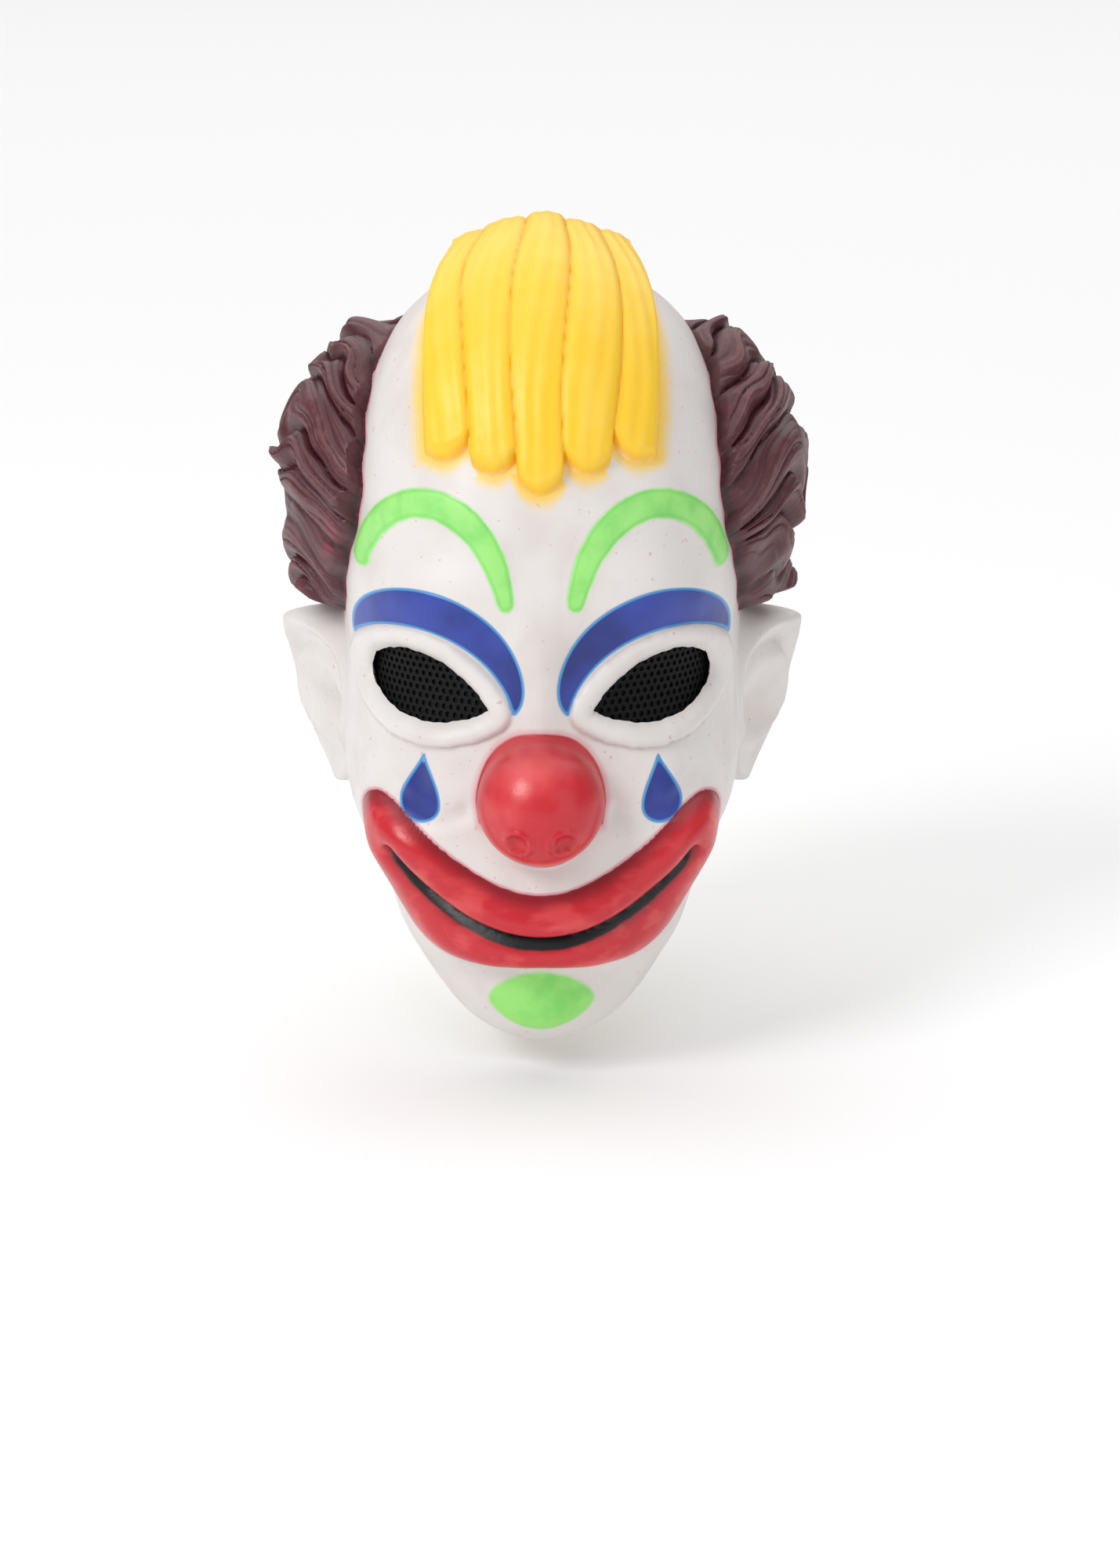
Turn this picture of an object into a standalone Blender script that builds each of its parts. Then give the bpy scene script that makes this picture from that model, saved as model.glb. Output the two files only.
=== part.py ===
"""A clown mask of moulded latex, open at the back, with mesh behind its eyes and an elastic strap.

Sizes are in metres. +Z is up and the face looks along -Y. The origin lies between the wearer's
ears at eye level, and the shell is one sheet whose points are found along lines from there.
"""

import math
from collections import namedtuple

import bmesh
import bpy
import numpy as np
from mathutils import Vector
from mathutils.bvhtree import BVHTree

# The head that the shell is moulded over
CROWN_HEIGHT = 0.140
CHIN_DROP = 0.136
HEAD_HALF_WIDTH = 0.077
FACE_REACH = 0.099
BACK_DEPTH = 0.105
REAR_EDGE = 0.034
FORM_RELIEF = 0.010
WALL = 0.002
CROWN_ROUNDNESS = 2.6
CHIN_ROUNDNESS = 3.0

# The ball nose
NOSE_RADIUS = 0.0230
NOSE_STAND = 0.007
NOSE_DROP = 0.0385
NOSE_FILLET_RISE = 0.0025
NOSE_FILLET_REACH = 0.006

# The eye holes, and the raised rim around each
EYE_SPACING = 1.052 * HEAD_HALF_WIDTH
EYE_DROP = 0.002
EYE_LENGTH = 0.5715 * HEAD_HALF_WIDTH
EYE_HEIGHT = 0.030
EYE_TILT = math.radians(14)
EYE_RIM_WIDTH = 0.0075
EYE_RIM_RISE = 0.0030
EYE_RIM_ROOT = 0.0012
EYE_OUTLINE_POINTS = 26
EYE_CORNER_SHARPNESS = 0.7

# The lips, which meet along a smiling line
MOUTH_DROP = 0.0885
MOUTH_HALF_WIDTH = 0.7275 * HEAD_HALF_WIDTH
SMILE_RISE = 0.030
LIP_HEIGHT = 0.0145
LIP_RISE = 0.0055

# The hair at each side
HAIR_FOOT = 0.010
HAIR_SWELL = 0.027
HAIR_STEP = 0.004
LOCK_PITCH = 0.0220
LOCK_RISE = 0.0052
LOCK_SWEEP = 0.024

# The tuft that stands on the crown
TUFT_HALF_WIDTH = 0.043
TUFT_RISE = 0.0165
TUFT_START_RISE = 0.005
TUFT_FOOT_ANGLE = math.radians(37)
TUFT_WALL_WIDTH = 0.004
TUFT_LOCKS = 5
TUFT_LOCK_RISE = 0.0050
TUFT_LOCK_STAGGER = 0.0085
TUFT_LOCK_ROUNDING = 0.008

# The ears
EAR_HEIGHT = 0.070
EAR_DEPTH = 0.046
EAR_FLARE = 0.022
EAR_SETBACK = 0.022
EAR_DROP = 0.027
EAR_EDGE_BULGE = 0.008
EAR_RELIEF = 0.009

# The mesh behind the eyes, and the strap round the back of the head
MESH_THICKNESS = 0.0010
MESH_BORDER = 0.005
MESH_RINGS = 5
STRAP_WIDTH = 0.018
STRAP_THICKNESS = 0.0012
STRAP_HEIGHT = 0.046
STRAP_BACK_DROP = 0.016
STRAP_SLACK = 0.006
STRAP_LAP = 0.018
SEAT_GAP = 0.0005

# How finely the sheet is divided
NOSE_RINGS = 5
FACE_RINGS = 24
RING_CROWDING = 1.08
STRAP_STEPS = 18

# Cross-sections of the head. height is a share of CROWN_HEIGHT above the eyes and of CHIN_DROP
# below them, half_width of HEAD_HALF_WIDTH, front and widest of FACE_REACH.
Section = namedtuple("Section", "height half_width front widest squareness")
SECTIONS = (
    Section(-1.00, 0.730, 1.10, 0.60, 2.1),
    Section(-0.88, 0.755, 1.12, 0.42, 2.2),
    Section(-0.78, 0.805, 1.13, 0.30, 2.3),
    Section(-0.50, 0.900, 1.05, 0.08, 2.4),
    Section(-0.35, 0.950, 1.02, 0.02, 2.5),
    Section(0.00, 0.970, 0.99, 0.00, 2.5),
    Section(0.50, 1.020, 1.01, 0.00, 2.4),
    Section(0.75, 1.030, 1.02, 0.00, 2.3),
    Section(1.00, 1.080, 1.02, 0.00, 2.2),
)

# The cut edge seen from the side. back is a share of REAR_EDGE, behind the ears' axis.
EdgePoint = namedtuple("EdgePoint", "height back")
CUT_EDGE = (
    EdgePoint(-1.00, -1.85),
    EdgePoint(-0.90, -1.30),
    EdgePoint(-0.78, -0.75),
    EdgePoint(-0.60, -0.10),
    EdgePoint(-0.44, 0.55),
    EdgePoint(-0.25, 0.95),
    EdgePoint(0.00, 1.00),
    EdgePoint(0.50, 1.00),
    EdgePoint(0.80, 0.75),
    EdgePoint(1.00, 0.30),
)

# Swellings and hollows of the face. across and half_width are shares of HEAD_HALF_WIDTH, up and
# half_height of CHIN_DROP, and rise of FORM_RELIEF.
Form = namedtuple("Form", "name across up half_width half_height rise")
FORMS = (
    Form("brow", 0.50, 0.24, 0.36, 0.10, 0.45),
    Form("eye socket", 0.54, 0.00, 0.36, 0.15, -0.70),
    Form("nose bridge", 0.00, 0.02, 0.13, 0.22, 0.55),
    Form("cheek", 0.60, -0.36, 0.28, 0.16, 0.95),
    Form("muzzle", 0.00, -0.56, 0.42, 0.20, 0.60),
    Form("cheek hollow", 0.92, -0.62, 0.20, 0.16, -0.40),
    Form("crease under the lip", 0.00, -0.80, 0.40, 0.045, -0.40),
    Form("chin", 0.00, -0.91, 0.26, 0.09, 0.65),
    Form("temple", 0.92, 0.36, 0.22, 0.24, -0.35),
)

# The two lips from the middle of the mouth to its corner. upper and lower are shares of LIP_HEIGHT.
LipRow = namedtuple("LipRow", "along upper lower")
LIPS = (
    LipRow(0.0, 0.82, 0.90),
    LipRow(0.3, 0.98, 1.05),
    LipRow(0.7, 1.00, 1.22),
    LipRow(1.0, 0.80, 0.95),
)

# The hairline seen from the side. back is a share of FACE_REACH, and swell of HAIR_SWELL.
HairRow = namedtuple("HairRow", "height back swell")
HAIRLINE = (
    HairRow(0.06, -0.12, 0.70),
    HairRow(0.15, -0.24, 0.70),
    HairRow(0.27, -0.39, 0.80),
    HairRow(0.39, -0.49, 1.05),
    HairRow(0.53, -0.48, 0.90),
    HairRow(0.66, -0.34, 0.66),
    HairRow(0.78, -0.12, 0.46),
    HairRow(0.86, 0.10, 0.28),
    HairRow(1.00, 0.50, 0.10),
)

# The tuft from its foot on the forehead to the cut edge, as a share of TUFT_HALF_WIDTH.
TuftRow = namedtuple("TuftRow", "along half_width")
TUFT_PLAN = (TuftRow(0.0, 0.90), TuftRow(0.4, 1.02), TuftRow(0.7, 0.98), TuftRow(1.0, 0.80))

# Runs of lines that fan out from the nose on one side, from the chin up to the crown.
Fan = namedtuple("Fan", "first_deg last_deg steps")
FANS = (Fan(-90, -25, 10), Fan(-25, 12, 7), Fan(12, 66, 12), Fan(66, 90, 9))

LATEX = ("latex", (0.86, 0.84, 0.83), 0.45)
MESH_CLOTH = ("eye_mesh", (0.02, 0.02, 0.02), 0.85)
ELASTIC = ("elastic", (0.03, 0.03, 0.03), 0.80)


def between_rows(rows, at, column, key="height"):
    """A column's value at places between the rows of a table, on a smooth curve through them."""
    knots = np.array([getattr(row, key) for row in rows], float)
    values = np.array([getattr(row, column) for row in rows], float)
    slopes = np.gradient(values, knots)
    at = np.clip(at, knots[0], knots[-1])
    i = np.clip(np.searchsorted(knots, at) - 1, 0, len(knots) - 2)
    span = knots[i + 1] - knots[i]
    t = (at - knots[i]) / span
    start = (1 + 2 * t) * (1 - t) ** 2 * values[i] + t * (1 - t) ** 2 * span * slopes[i]
    end = t**2 * (3 - 2 * t) * values[i + 1] - t**2 * (1 - t) * span * slopes[i + 1]
    return start + end


def eased(value):
    """0 below 0, 1 above 1, and an S-curve between."""
    t = np.clip(value, 0, 1)
    return t * t * (3 - 2 * t)


def height_share(z):
    """Height as a share of the crown's above the eyes and of the chin's below."""
    return np.where(z > 0, z / CROWN_HEIGHT, z / CHIN_DROP)


def closing(share):
    """How much of a section's size is left as the head closes over the crown or under the chin."""
    roundness = np.where(share > 0, CROWN_ROUNDNESS, CHIN_ROUNDNESS)
    inside = np.clip(1 - np.abs(share) ** roundness, 1e-9, 1)
    return inside ** (1 / roundness)


def fullness(points):
    """Under 1 inside the plain head form, 1 on it and over 1 outside."""
    x, y, z = points.T
    share = height_share(z)
    cap = closing(share)
    half_width = HEAD_HALF_WIDTH * between_rows(SECTIONS, share, "half_width") * cap
    widest = -FACE_REACH * between_rows(SECTIONS, share, "widest")
    front = (FACE_REACH * between_rows(SECTIONS, share, "front") + widest) * cap
    depth = np.where(y < widest, front, BACK_DEPTH * cap)
    power = between_rows(SECTIONS, share, "squareness")
    return (np.abs(x) / half_width) ** power + (np.abs(y - widest) / depth) ** power


def plain_radius(directions):
    """How far the plain head form lies from the origin along each direction."""
    low = np.full(len(directions), WALL)
    high = np.full(len(directions), CROWN_HEIGHT + CHIN_DROP)
    for _ in range(40):
        middle = (low + high) / 2
        inside = fullness(directions * middle[:, None]) < 1
        low = np.where(inside, middle, low)
        high = np.where(inside, high, middle)
    return (low + high) / 2


def nose_centre():
    """The middle of the ball nose."""
    return np.array([0.0, -FACE_REACH - NOSE_STAND, -NOSE_DROP])


def fan_direction(polar, clock):
    """Directions at an angle from the nose's axis, turned by a clock angle from +X towards the crown."""
    axis = nose_centre() / np.linalg.norm(nose_centre())
    up = np.array([0.0, axis[2], -axis[1]])
    side = np.array([1.0, 0.0, 0.0])
    across = np.cos(clock)[:, None] * side + np.sin(clock)[:, None] * up
    return np.cos(polar)[:, None] * axis + np.sin(polar)[:, None] * across


def edge_angle(clock):
    """The angle from the nose's axis at which the sheet meets its cut edge, for each clock angle."""
    low = np.full(len(clock), 0.5)
    high = np.full(len(clock), 2.6)
    for _ in range(30):
        middle = (low + high) / 2
        directions = fan_direction(middle, clock)
        points = directions * plain_radius(directions)[:, None]
        limit = REAR_EDGE * between_rows(CUT_EDGE, height_share(points[:, 2]), "back")
        up = (points[:, 2] + EAR_DROP) / (EAR_HEIGHT / 2)
        limit += EAR_EDGE_BULGE * np.sqrt(np.clip(1 - up**2, 0, 1))
        ahead = points[:, 1] < limit
        low = np.where(ahead, middle, low)
        high = np.where(ahead, high, middle)
    return (low + high) / 2


def eye_outline(border=0.0):
    """Points round the right eye hole as (x, z), widened by a border: pointed at the nose, round outside."""
    turn = np.linspace(0, 2 * math.pi, EYE_OUTLINE_POINTS, endpoint=False)
    fuller = np.sin(turn / 2) ** EYE_CORNER_SHARPNESS
    along = -(EYE_LENGTH / 2 + border) * np.cos(turn)
    up = (EYE_HEIGHT / 2 + border) * np.sin(turn) * np.where(border > 0, np.sqrt(fuller), fuller)
    x = EYE_SPACING / 2 + along * math.cos(EYE_TILT) - up * math.sin(EYE_TILT)
    z = along * math.sin(EYE_TILT) + up * math.cos(EYE_TILT) - EYE_DROP
    return np.stack([x, z], axis=1)


def distance_to_line(x, z, line):
    """The distance from each (x, z) to the nearest of a line's points, and that point's number."""
    gaps = np.hypot(x[:, None] - line[None, :, 0], z[:, None] - line[None, :, 1])
    nearest = gaps.argmin(axis=1)
    return gaps[np.arange(len(x)), nearest], nearest


def face_forms(points):
    """The swellings and hollows of the face."""
    x, _, z = points.T
    rise = np.zeros(len(points))
    for form in FORMS:
        across = (np.abs(x) / HEAD_HALF_WIDTH - form.across) / form.half_width
        up = (z / CHIN_DROP - form.up) / form.half_height
        rise += FORM_RELIEF * form.rise * np.exp(-(across**2) - up**2)
    return rise * (points[:, 1] < 0)


def lips(points):
    """The two lips, which swell on each side of the line where they meet."""
    x, y, z = points.T
    along = np.linspace(-1, 1, 81)
    line = np.stack(
        [MOUTH_HALF_WIDTH * along, SMILE_RISE * np.abs(along) ** 1.9 - MOUTH_DROP], axis=1
    )
    gap, nearest = distance_to_line(x, z, line)
    upper = LIP_HEIGHT * between_rows(LIPS, np.abs(along[nearest]), "upper", "along")
    lower = LIP_HEIGHT * between_rows(LIPS, np.abs(along[nearest]), "lower", "along")
    thickness = np.where(z > line[nearest, 1], upper, lower)
    share = np.clip(gap / thickness, 0, 1)
    return LIP_RISE * np.sin(math.pi * share) ** 0.7 * (y < 0)


def hair_depth(points):
    """How far each point lies inside the hair at the side, and how far back in it as a share."""
    _, y, z = points.T
    share = height_share(z)
    behind = y - FACE_REACH * between_rows(HAIRLINE, share, "back")
    whole = REAR_EDGE - FACE_REACH * between_rows(HAIRLINE, share, "back")
    above = z - HAIR_FOOT
    return np.minimum(behind, above), np.clip(behind / np.maximum(whole, 1e-3), 0, 1)


def side_hair(points):
    """The hair's swelling and its locks, which sweep back from the hairline."""
    depth, back = hair_depth(points)
    swell = HAIR_SWELL * between_rows(HAIRLINE, height_share(points[:, 2]), "swell")
    body = swell * np.sin(math.pi * (0.05 + 0.78 * back))
    swept = points[:, 2] - HAIR_FOOT + LOCK_SWEEP * back**1.5
    lock = swept / LOCK_PITCH % 1
    ridge = np.sqrt(np.clip(1 - (2 * lock - 1) ** 2, 0, 1)) - 0.5
    return (body + LOCK_RISE * ridge) * eased(depth / HAIR_STEP)


def tuft(points):
    """The tuft of upright locks, which grows from the forehead to the cut edge on the crown."""
    x, y, z = points.T
    angle = np.arctan2(z, -y)
    reach = np.clip((angle - TUFT_FOOT_ANGLE) / (math.pi / 2 - TUFT_FOOT_ANGLE), 0, 1)
    half_width = TUFT_HALF_WIDTH * between_rows(TUFT_PLAN, reach, "half_width", "along")
    column = (x / half_width + 1) * TUFT_LOCKS / 2
    middle = (TUFT_LOCKS - 1) / 2
    off_middle = np.abs(np.clip(np.floor(column), 0, TUFT_LOCKS - 1) - middle)
    across = 2 * (column % 1) - 1
    low_end = TUFT_LOCK_STAGGER * off_middle + TUFT_LOCK_ROUNDING * across**2
    past_end = (angle - TUFT_FOOT_ANGLE) * np.hypot(y, z) - low_end
    body = TUFT_START_RISE + (TUFT_RISE - TUFT_START_RISE) * reach**1.1
    body = body * (1 - 0.25 * (x / half_width) ** 2)
    ridge = TUFT_LOCK_RISE * (np.sqrt(np.clip(1 - across**2, 0, 1)) - 0.5)
    wall = eased((half_width - np.abs(x)) / TUFT_WALL_WIDTH)
    return (body + ridge) * wall * eased(past_end / TUFT_WALL_WIDTH)


def ears(points):
    """The ears, which flare from the sides of the head to the cut edge."""
    x, y, z = points.T
    up = (z + EAR_DROP) / (EAR_HEIGHT / 2)
    middle = REAR_EDGE - EAR_SETBACK
    back = (y - middle) / (EAR_DEPTH / 2) * (1 + 0.25 * np.clip(-up, 0, 1))
    outline = np.hypot(np.minimum(back, 0), up)
    flare = EAR_FLARE * eased((back + 1) / 1.7) * (1 + 0.25 * np.clip(up, -1, 1))
    helix = np.exp(-(((np.hypot(back, up) - 0.82) / 0.14) ** 2)) * 0.35
    bowl = -np.exp(-(((back + 0.10) / 0.38) ** 2) - ((up + 0.12) / 0.40) ** 2)
    fold = 0.40 * np.exp(-(((np.hypot(back + 0.1, up) - 0.52) / 0.12) ** 2)) * (back > -0.2)
    flap = 0.45 * np.exp(-(((back + 0.72) / 0.18) ** 2) - ((up + 0.15) / 0.22) ** 2)
    relief = EAR_RELIEF * (helix + bowl + fold + flap)
    return (flare + relief) * eased((1 - outline) / 0.20) * (np.abs(x) > HEAD_HALF_WIDTH / 2)


def shell_points(polar, clock):
    """Points of the shell's outer face for angles from the nose's axis and round it."""
    directions = fan_direction(polar, clock)
    plain = plain_radius(directions)
    at = directions * plain[:, None]
    radius = plain + face_forms(at) + lips(at) + side_hair(at) + tuft(at) + ears(at)
    centre = nose_centre()
    off_axis = np.linalg.norm(at - centre * (at @ centre / (centre @ centre))[:, None], axis=1)
    beside_nose = np.clip((off_axis - NOSE_RADIUS) / NOSE_FILLET_REACH, 0, None)
    radius += NOSE_FILLET_RISE * np.exp(-beside_nose) * (at[:, 1] < 0)
    along = directions @ centre
    reach = along**2 - (centre @ centre - NOSE_RADIUS**2)
    on_ball = along + np.sqrt(np.maximum(reach, 0))
    radius = np.where(reach >= -1e-12, np.maximum(radius, on_ball), radius)
    return directions * radius[:, None]


def ring_angles(last):
    """Angles from the nose's axis out to the cut edge: even on the ball, then even over the face."""
    distance = np.linalg.norm(nose_centre())
    edge_of_ball = math.acos(-NOSE_RADIUS / distance)
    on_ball = edge_of_ball * np.arange(NOSE_RINGS + 1) / NOSE_RINGS
    nose = np.arctan2(NOSE_RADIUS * np.sin(on_ball), distance + NOSE_RADIUS * np.cos(on_ball))
    first = nose[-1] + math.radians(0.4)
    share = (np.arange(FACE_RINGS + 1) / FACE_RINGS) ** RING_CROWDING
    return np.concatenate([nose, first + (last - first) * share])


def clock_angles():
    """Clock angles of the lines that fan out from the nose, from the chin to the crown."""
    runs = [
        np.linspace(fan.first_deg, fan.last_deg, fan.steps, endpoint=False) for fan in FANS
    ]
    return np.radians(np.append(np.concatenate(runs), FANS[-1].last_deg))


def add_object(name, mesh, look):
    """A new object in the mask's collection, with its own material."""
    slot, colour, roughness = look
    obj = bpy.data.objects.new(name, mesh)
    bpy.data.collections["clown_mask"].objects.link(obj)
    material = bpy.data.materials.new(f"{name}_{slot}")
    material.use_nodes = True
    shader = material.node_tree.nodes["Principled BSDF"]
    shader.inputs["Base Color"].default_value = (*colour, 1)
    shader.inputs["Roughness"].default_value = roughness
    mesh.materials.append(material)
    return obj


def grid_mesh(name, points):
    """A sheet through a grid of points, given as rows by columns by 3."""
    rows, columns = points.shape[:2]
    bm = bmesh.new()
    bmesh.ops.create_grid(bm, x_segments=columns - 1, y_segments=rows - 1, size=0.5)
    bm.verts.ensure_lookup_table()
    for vertex in bm.verts:
        column = round((vertex.co.x + 0.5) * (columns - 1))
        row = round((vertex.co.y + 0.5) * (rows - 1))
        vertex.co = Vector(points[row, column])
    bmesh.ops.remove_doubles(bm, verts=bm.verts, dist=1e-6)
    mesh = bpy.data.meshes.new(name)
    bm.to_mesh(mesh)
    bm.free()
    return mesh


def mirror(obj):
    """Makes the other half across the middle plane."""
    modifier = obj.modifiers.new("Mirror", "MIRROR")
    modifier.merge_threshold = 0.0001
    modifier.use_clip = True


def thicken(obj, thickness, offset):
    """Gives a sheet its wall."""
    modifier = obj.modifiers.new("Wall", "SOLIDIFY")
    modifier.thickness = thickness
    modifier.offset = offset


def cut(obj, cutter):
    """Cuts a helper's shape out of an object."""
    modifier = obj.modifiers.new(f"Cut {cutter.name}", "BOOLEAN")
    modifier.operation = "DIFFERENCE"
    modifier.object = cutter


def join(obj, helper):
    """Joins a helper's shape onto an object."""
    modifier = obj.modifiers.new(f"Join {helper.name}", "BOOLEAN")
    modifier.operation = "UNION"
    modifier.object = helper


def add_helper(name, mesh):
    """A hidden object that only shapes others."""
    obj = bpy.data.objects.new(name, mesh)
    obj.hide_render = True
    obj.display_type = "WIRE"
    bpy.data.collections["cutters"].objects.link(obj)
    return obj


def make_rim(name, tree, side):
    """A raised band round an eye hole, rooted in the wall beneath it."""
    outline = eye_outline(EYE_RIM_WIDTH / 2)
    places = []
    for x, z in outline:
        start = Vector((side * x, -2 * FACE_REACH, z))
        place, normal = tree.ray_cast(start, Vector((0, 1, 0)))[:2]
        places.append((place, -normal if normal.y > 0 else normal))
    rings = []
    for i, (place, normal) in enumerate(places):
        ahead = places[(i + 1) % len(places)][0] - places[i - 1][0]
        across = ahead.cross(normal).normalized()
        ring = []
        for turn in np.arange(8) * math.tau / 8:
            rise = EYE_RIM_RISE if turn < math.pi else EYE_RIM_ROOT
            offset = across * (math.cos(turn) * EYE_RIM_WIDTH / 2)
            ring.append(place + offset + normal * (math.sin(turn) * rise))
        rings.append([*ring, ring[0]])
    return add_helper(name, grid_mesh(name, np.array([*rings, rings[0]])))


def make_cutter(name, outline, side):
    """A prism through the face in the outline of an eye hole."""
    bm = bmesh.new()
    near, far = -2 * FACE_REACH, -FACE_REACH / 4
    corners = [bm.verts.new((side * x, near, z)) for x, z in outline]
    face = bm.faces.new(corners)
    walls = bmesh.ops.extrude_face_region(bm, geom=[face])
    moved = [v for v in walls["geom"] if isinstance(v, bmesh.types.BMVert)]
    bmesh.ops.translate(bm, verts=moved, vec=(0, far - near, 0))
    bmesh.ops.recalc_face_normals(bm, faces=bm.faces)
    mesh = bpy.data.meshes.new(name)
    bm.to_mesh(mesh)
    bm.free()
    return add_helper(name, mesh)


def build_shell():
    """The latex shell with its nose, lips, ears, hair and tuft, all of one wall.

    Returns a search tree of its faces before the eye holes were cut, to seat other pieces against.
    """
    clock = clock_angles()
    last = edge_angle(clock)
    rings = np.stack([ring_angles(angle) for angle in last], axis=1)
    spread = np.broadcast_to(clock, rings.shape)
    points = shell_points(rings.ravel(), spread.ravel()).reshape(*rings.shape, 3)
    points[:, [0, -1], 0] = 0
    points[0] = (0, *points[0, 0, 1:])
    shell = add_object("mask_shell", grid_mesh("mask_shell", points), LATEX)
    mirror(shell)
    thicken(shell, WALL, 1)
    tree = tree_of(shell)
    for side, name in ((1, "right"), (-1, "left")):
        join(shell, make_rim(f"eye_rim_{name}", tree, side))
        cut(shell, make_cutter(f"eye_hole_{name}", eye_outline(), side))
    shell.data.shade_smooth()
    return tree


def tree_of(obj):
    """A search tree of an object's finished faces."""
    graph = bpy.context.evaluated_depsgraph_get()
    evaluated = obj.evaluated_get(graph)
    mesh = evaluated.to_mesh()
    corners = [vertex.co.copy() for vertex in mesh.vertices]
    tree = BVHTree.FromPolygons(corners, [tuple(face.vertices) for face in mesh.polygons])
    evaluated.to_mesh_clear()
    return tree


def wall_ahead(tree, x, z):
    """How far forward the shell's inner face lies at (x, z), or None over a hole."""
    hit = tree.ray_cast(Vector((x, -FACE_REACH / 4, z)), Vector((0, -1, 0)))[0]
    return None if hit is None else hit.y


def wall_beside(tree, y, z):
    """How far to the right the shell's inner face lies at (y, z), or None past its edge."""
    hit = tree.ray_cast(Vector((0, y, z)), Vector((1, 0, 0)))[0]
    return None if hit is None else hit.x


def build_eye_mesh(tree, side, name):
    """A patch of mesh cloth that lies against the inside of the shell round an eye hole."""
    outline = eye_outline(MESH_BORDER)
    middle = outline.mean(axis=0)
    rings = [middle + (outline - middle) * share for share in np.linspace(0, 1, MESH_RINGS)]
    places = np.stack([np.vstack([ring, ring[:1]]) for ring in rings])
    x, z = places.reshape(-1, 2).T
    walls = np.array([wall_ahead(tree, *place) for place in zip(x, z)])
    sheet = np.stack([side * x, walls + SEAT_GAP, z], axis=1)
    patch = add_object(name, grid_mesh(name, sheet.reshape(*places.shape[:2], 3)), MESH_CLOTH)
    thicken(patch, MESH_THICKNESS, -side)
    return patch


def strap_seat(tree):
    """Where the strap meets the shell: the wall's x along its lap, and the y of the shell's edge."""
    heights = STRAP_HEIGHT + STRAP_WIDTH * np.linspace(-0.5, 0.5, 9)
    reach = REAR_EDGE + STRAP_LAP * np.linspace(-1, 1.5, 51)
    walls = [[wall_beside(tree, y, z) for z in heights] for y in reach]
    found = [None not in row for row in walls]
    edge = reach[: found.index(False)][-1]
    lap = [min(row) for y, row in zip(reach, walls) if edge - STRAP_LAP <= y <= edge]
    return min(lap), edge


def build_strap(tree):
    """The elastic strap: its ends lie inside the shell's edge, and it runs round behind the head."""
    wall, edge = strap_seat(tree)
    seat = wall - SEAT_GAP - STRAP_THICKNESS
    far = BACK_DEPTH - STRAP_SLACK
    pull = far - edge
    t = np.linspace(0, 1, STRAP_STEPS)[:, None]
    curve = (1 - t) ** 3 * (seat, edge) + 3 * t * (1 - t) ** 2 * (seat, edge + 0.6 * pull)
    curve += 3 * t**2 * (1 - t) * (0.6 * seat, far) + t**3 * (0, far)
    path = np.vstack([(seat, edge - STRAP_LAP), curve])
    drop = STRAP_BACK_DROP * eased((path[:, 1] - edge) / pull)
    rows = [
        np.column_stack([path, STRAP_HEIGHT - drop + across * STRAP_WIDTH])
        for across in (-0.5, 0, 0.5)
    ]
    strap = add_object("head_strap", grid_mesh("head_strap", np.stack(rows)), ELASTIC)
    mirror(strap)
    thicken(strap, STRAP_THICKNESS, 1)
    return strap


def clear_scene():
    """Empties the scene and makes the collections."""
    for obj in list(bpy.data.objects):
        bpy.data.objects.remove(obj)
    for name in ("clown_mask", "cutters"):
        collection = bpy.data.collections.new(name)
        bpy.context.scene.collection.children.link(collection)
    bpy.data.collections["cutters"].hide_render = True


clear_scene()
shell_tree = build_shell()
build_eye_mesh(shell_tree, 1, "eye_mesh_right")
build_eye_mesh(shell_tree, -1, "eye_mesh_left")
build_strap(shell_tree)
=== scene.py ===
"""Looks of a moulded latex clown mask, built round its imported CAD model.

The casting is one sheet over a plain head form. Each of its points lies on a line from between the
wearer's ears, and every class below adds its own swelling to the length of that line. The paint
is found from the same lines, as distances to the edge of each painted shape, kept on the mesh.
"""

import logging
import math
from dataclasses import dataclass
from enum import Enum
from typing import NamedTuple

import bpy
import numpy as np
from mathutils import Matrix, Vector

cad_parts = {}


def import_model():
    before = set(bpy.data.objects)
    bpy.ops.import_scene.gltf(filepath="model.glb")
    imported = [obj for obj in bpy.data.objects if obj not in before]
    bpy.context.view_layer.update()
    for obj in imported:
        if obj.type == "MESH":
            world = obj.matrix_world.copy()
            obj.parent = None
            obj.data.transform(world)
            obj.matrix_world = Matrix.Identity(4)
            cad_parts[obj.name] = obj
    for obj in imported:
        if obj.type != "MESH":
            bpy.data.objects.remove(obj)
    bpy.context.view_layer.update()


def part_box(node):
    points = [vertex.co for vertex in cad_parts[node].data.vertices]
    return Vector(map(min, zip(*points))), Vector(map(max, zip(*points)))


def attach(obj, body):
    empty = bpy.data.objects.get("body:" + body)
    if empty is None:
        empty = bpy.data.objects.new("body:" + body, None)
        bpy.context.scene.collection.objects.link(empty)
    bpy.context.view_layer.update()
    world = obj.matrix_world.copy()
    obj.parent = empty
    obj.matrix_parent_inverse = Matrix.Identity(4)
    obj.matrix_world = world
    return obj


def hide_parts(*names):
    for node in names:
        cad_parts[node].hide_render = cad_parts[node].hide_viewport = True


LOG = logging.getLogger("clown_mask")
MM = 0.001
Grid = np.ndarray


class Side(Enum):
    """A side of the mask, as the viewer sees it."""

    LEFT = -1
    RIGHT = 1


class Section(NamedTuple):
    """A cross-section of the head: shares of its crown or chin height, half width and reach."""

    height: float
    half_width: float
    front: float
    widest: float
    squareness: float


class EdgePoint(NamedTuple):
    """A point of the cut edge from the side: a height share, and a share of the rear edge."""

    height: float
    back: float


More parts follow.
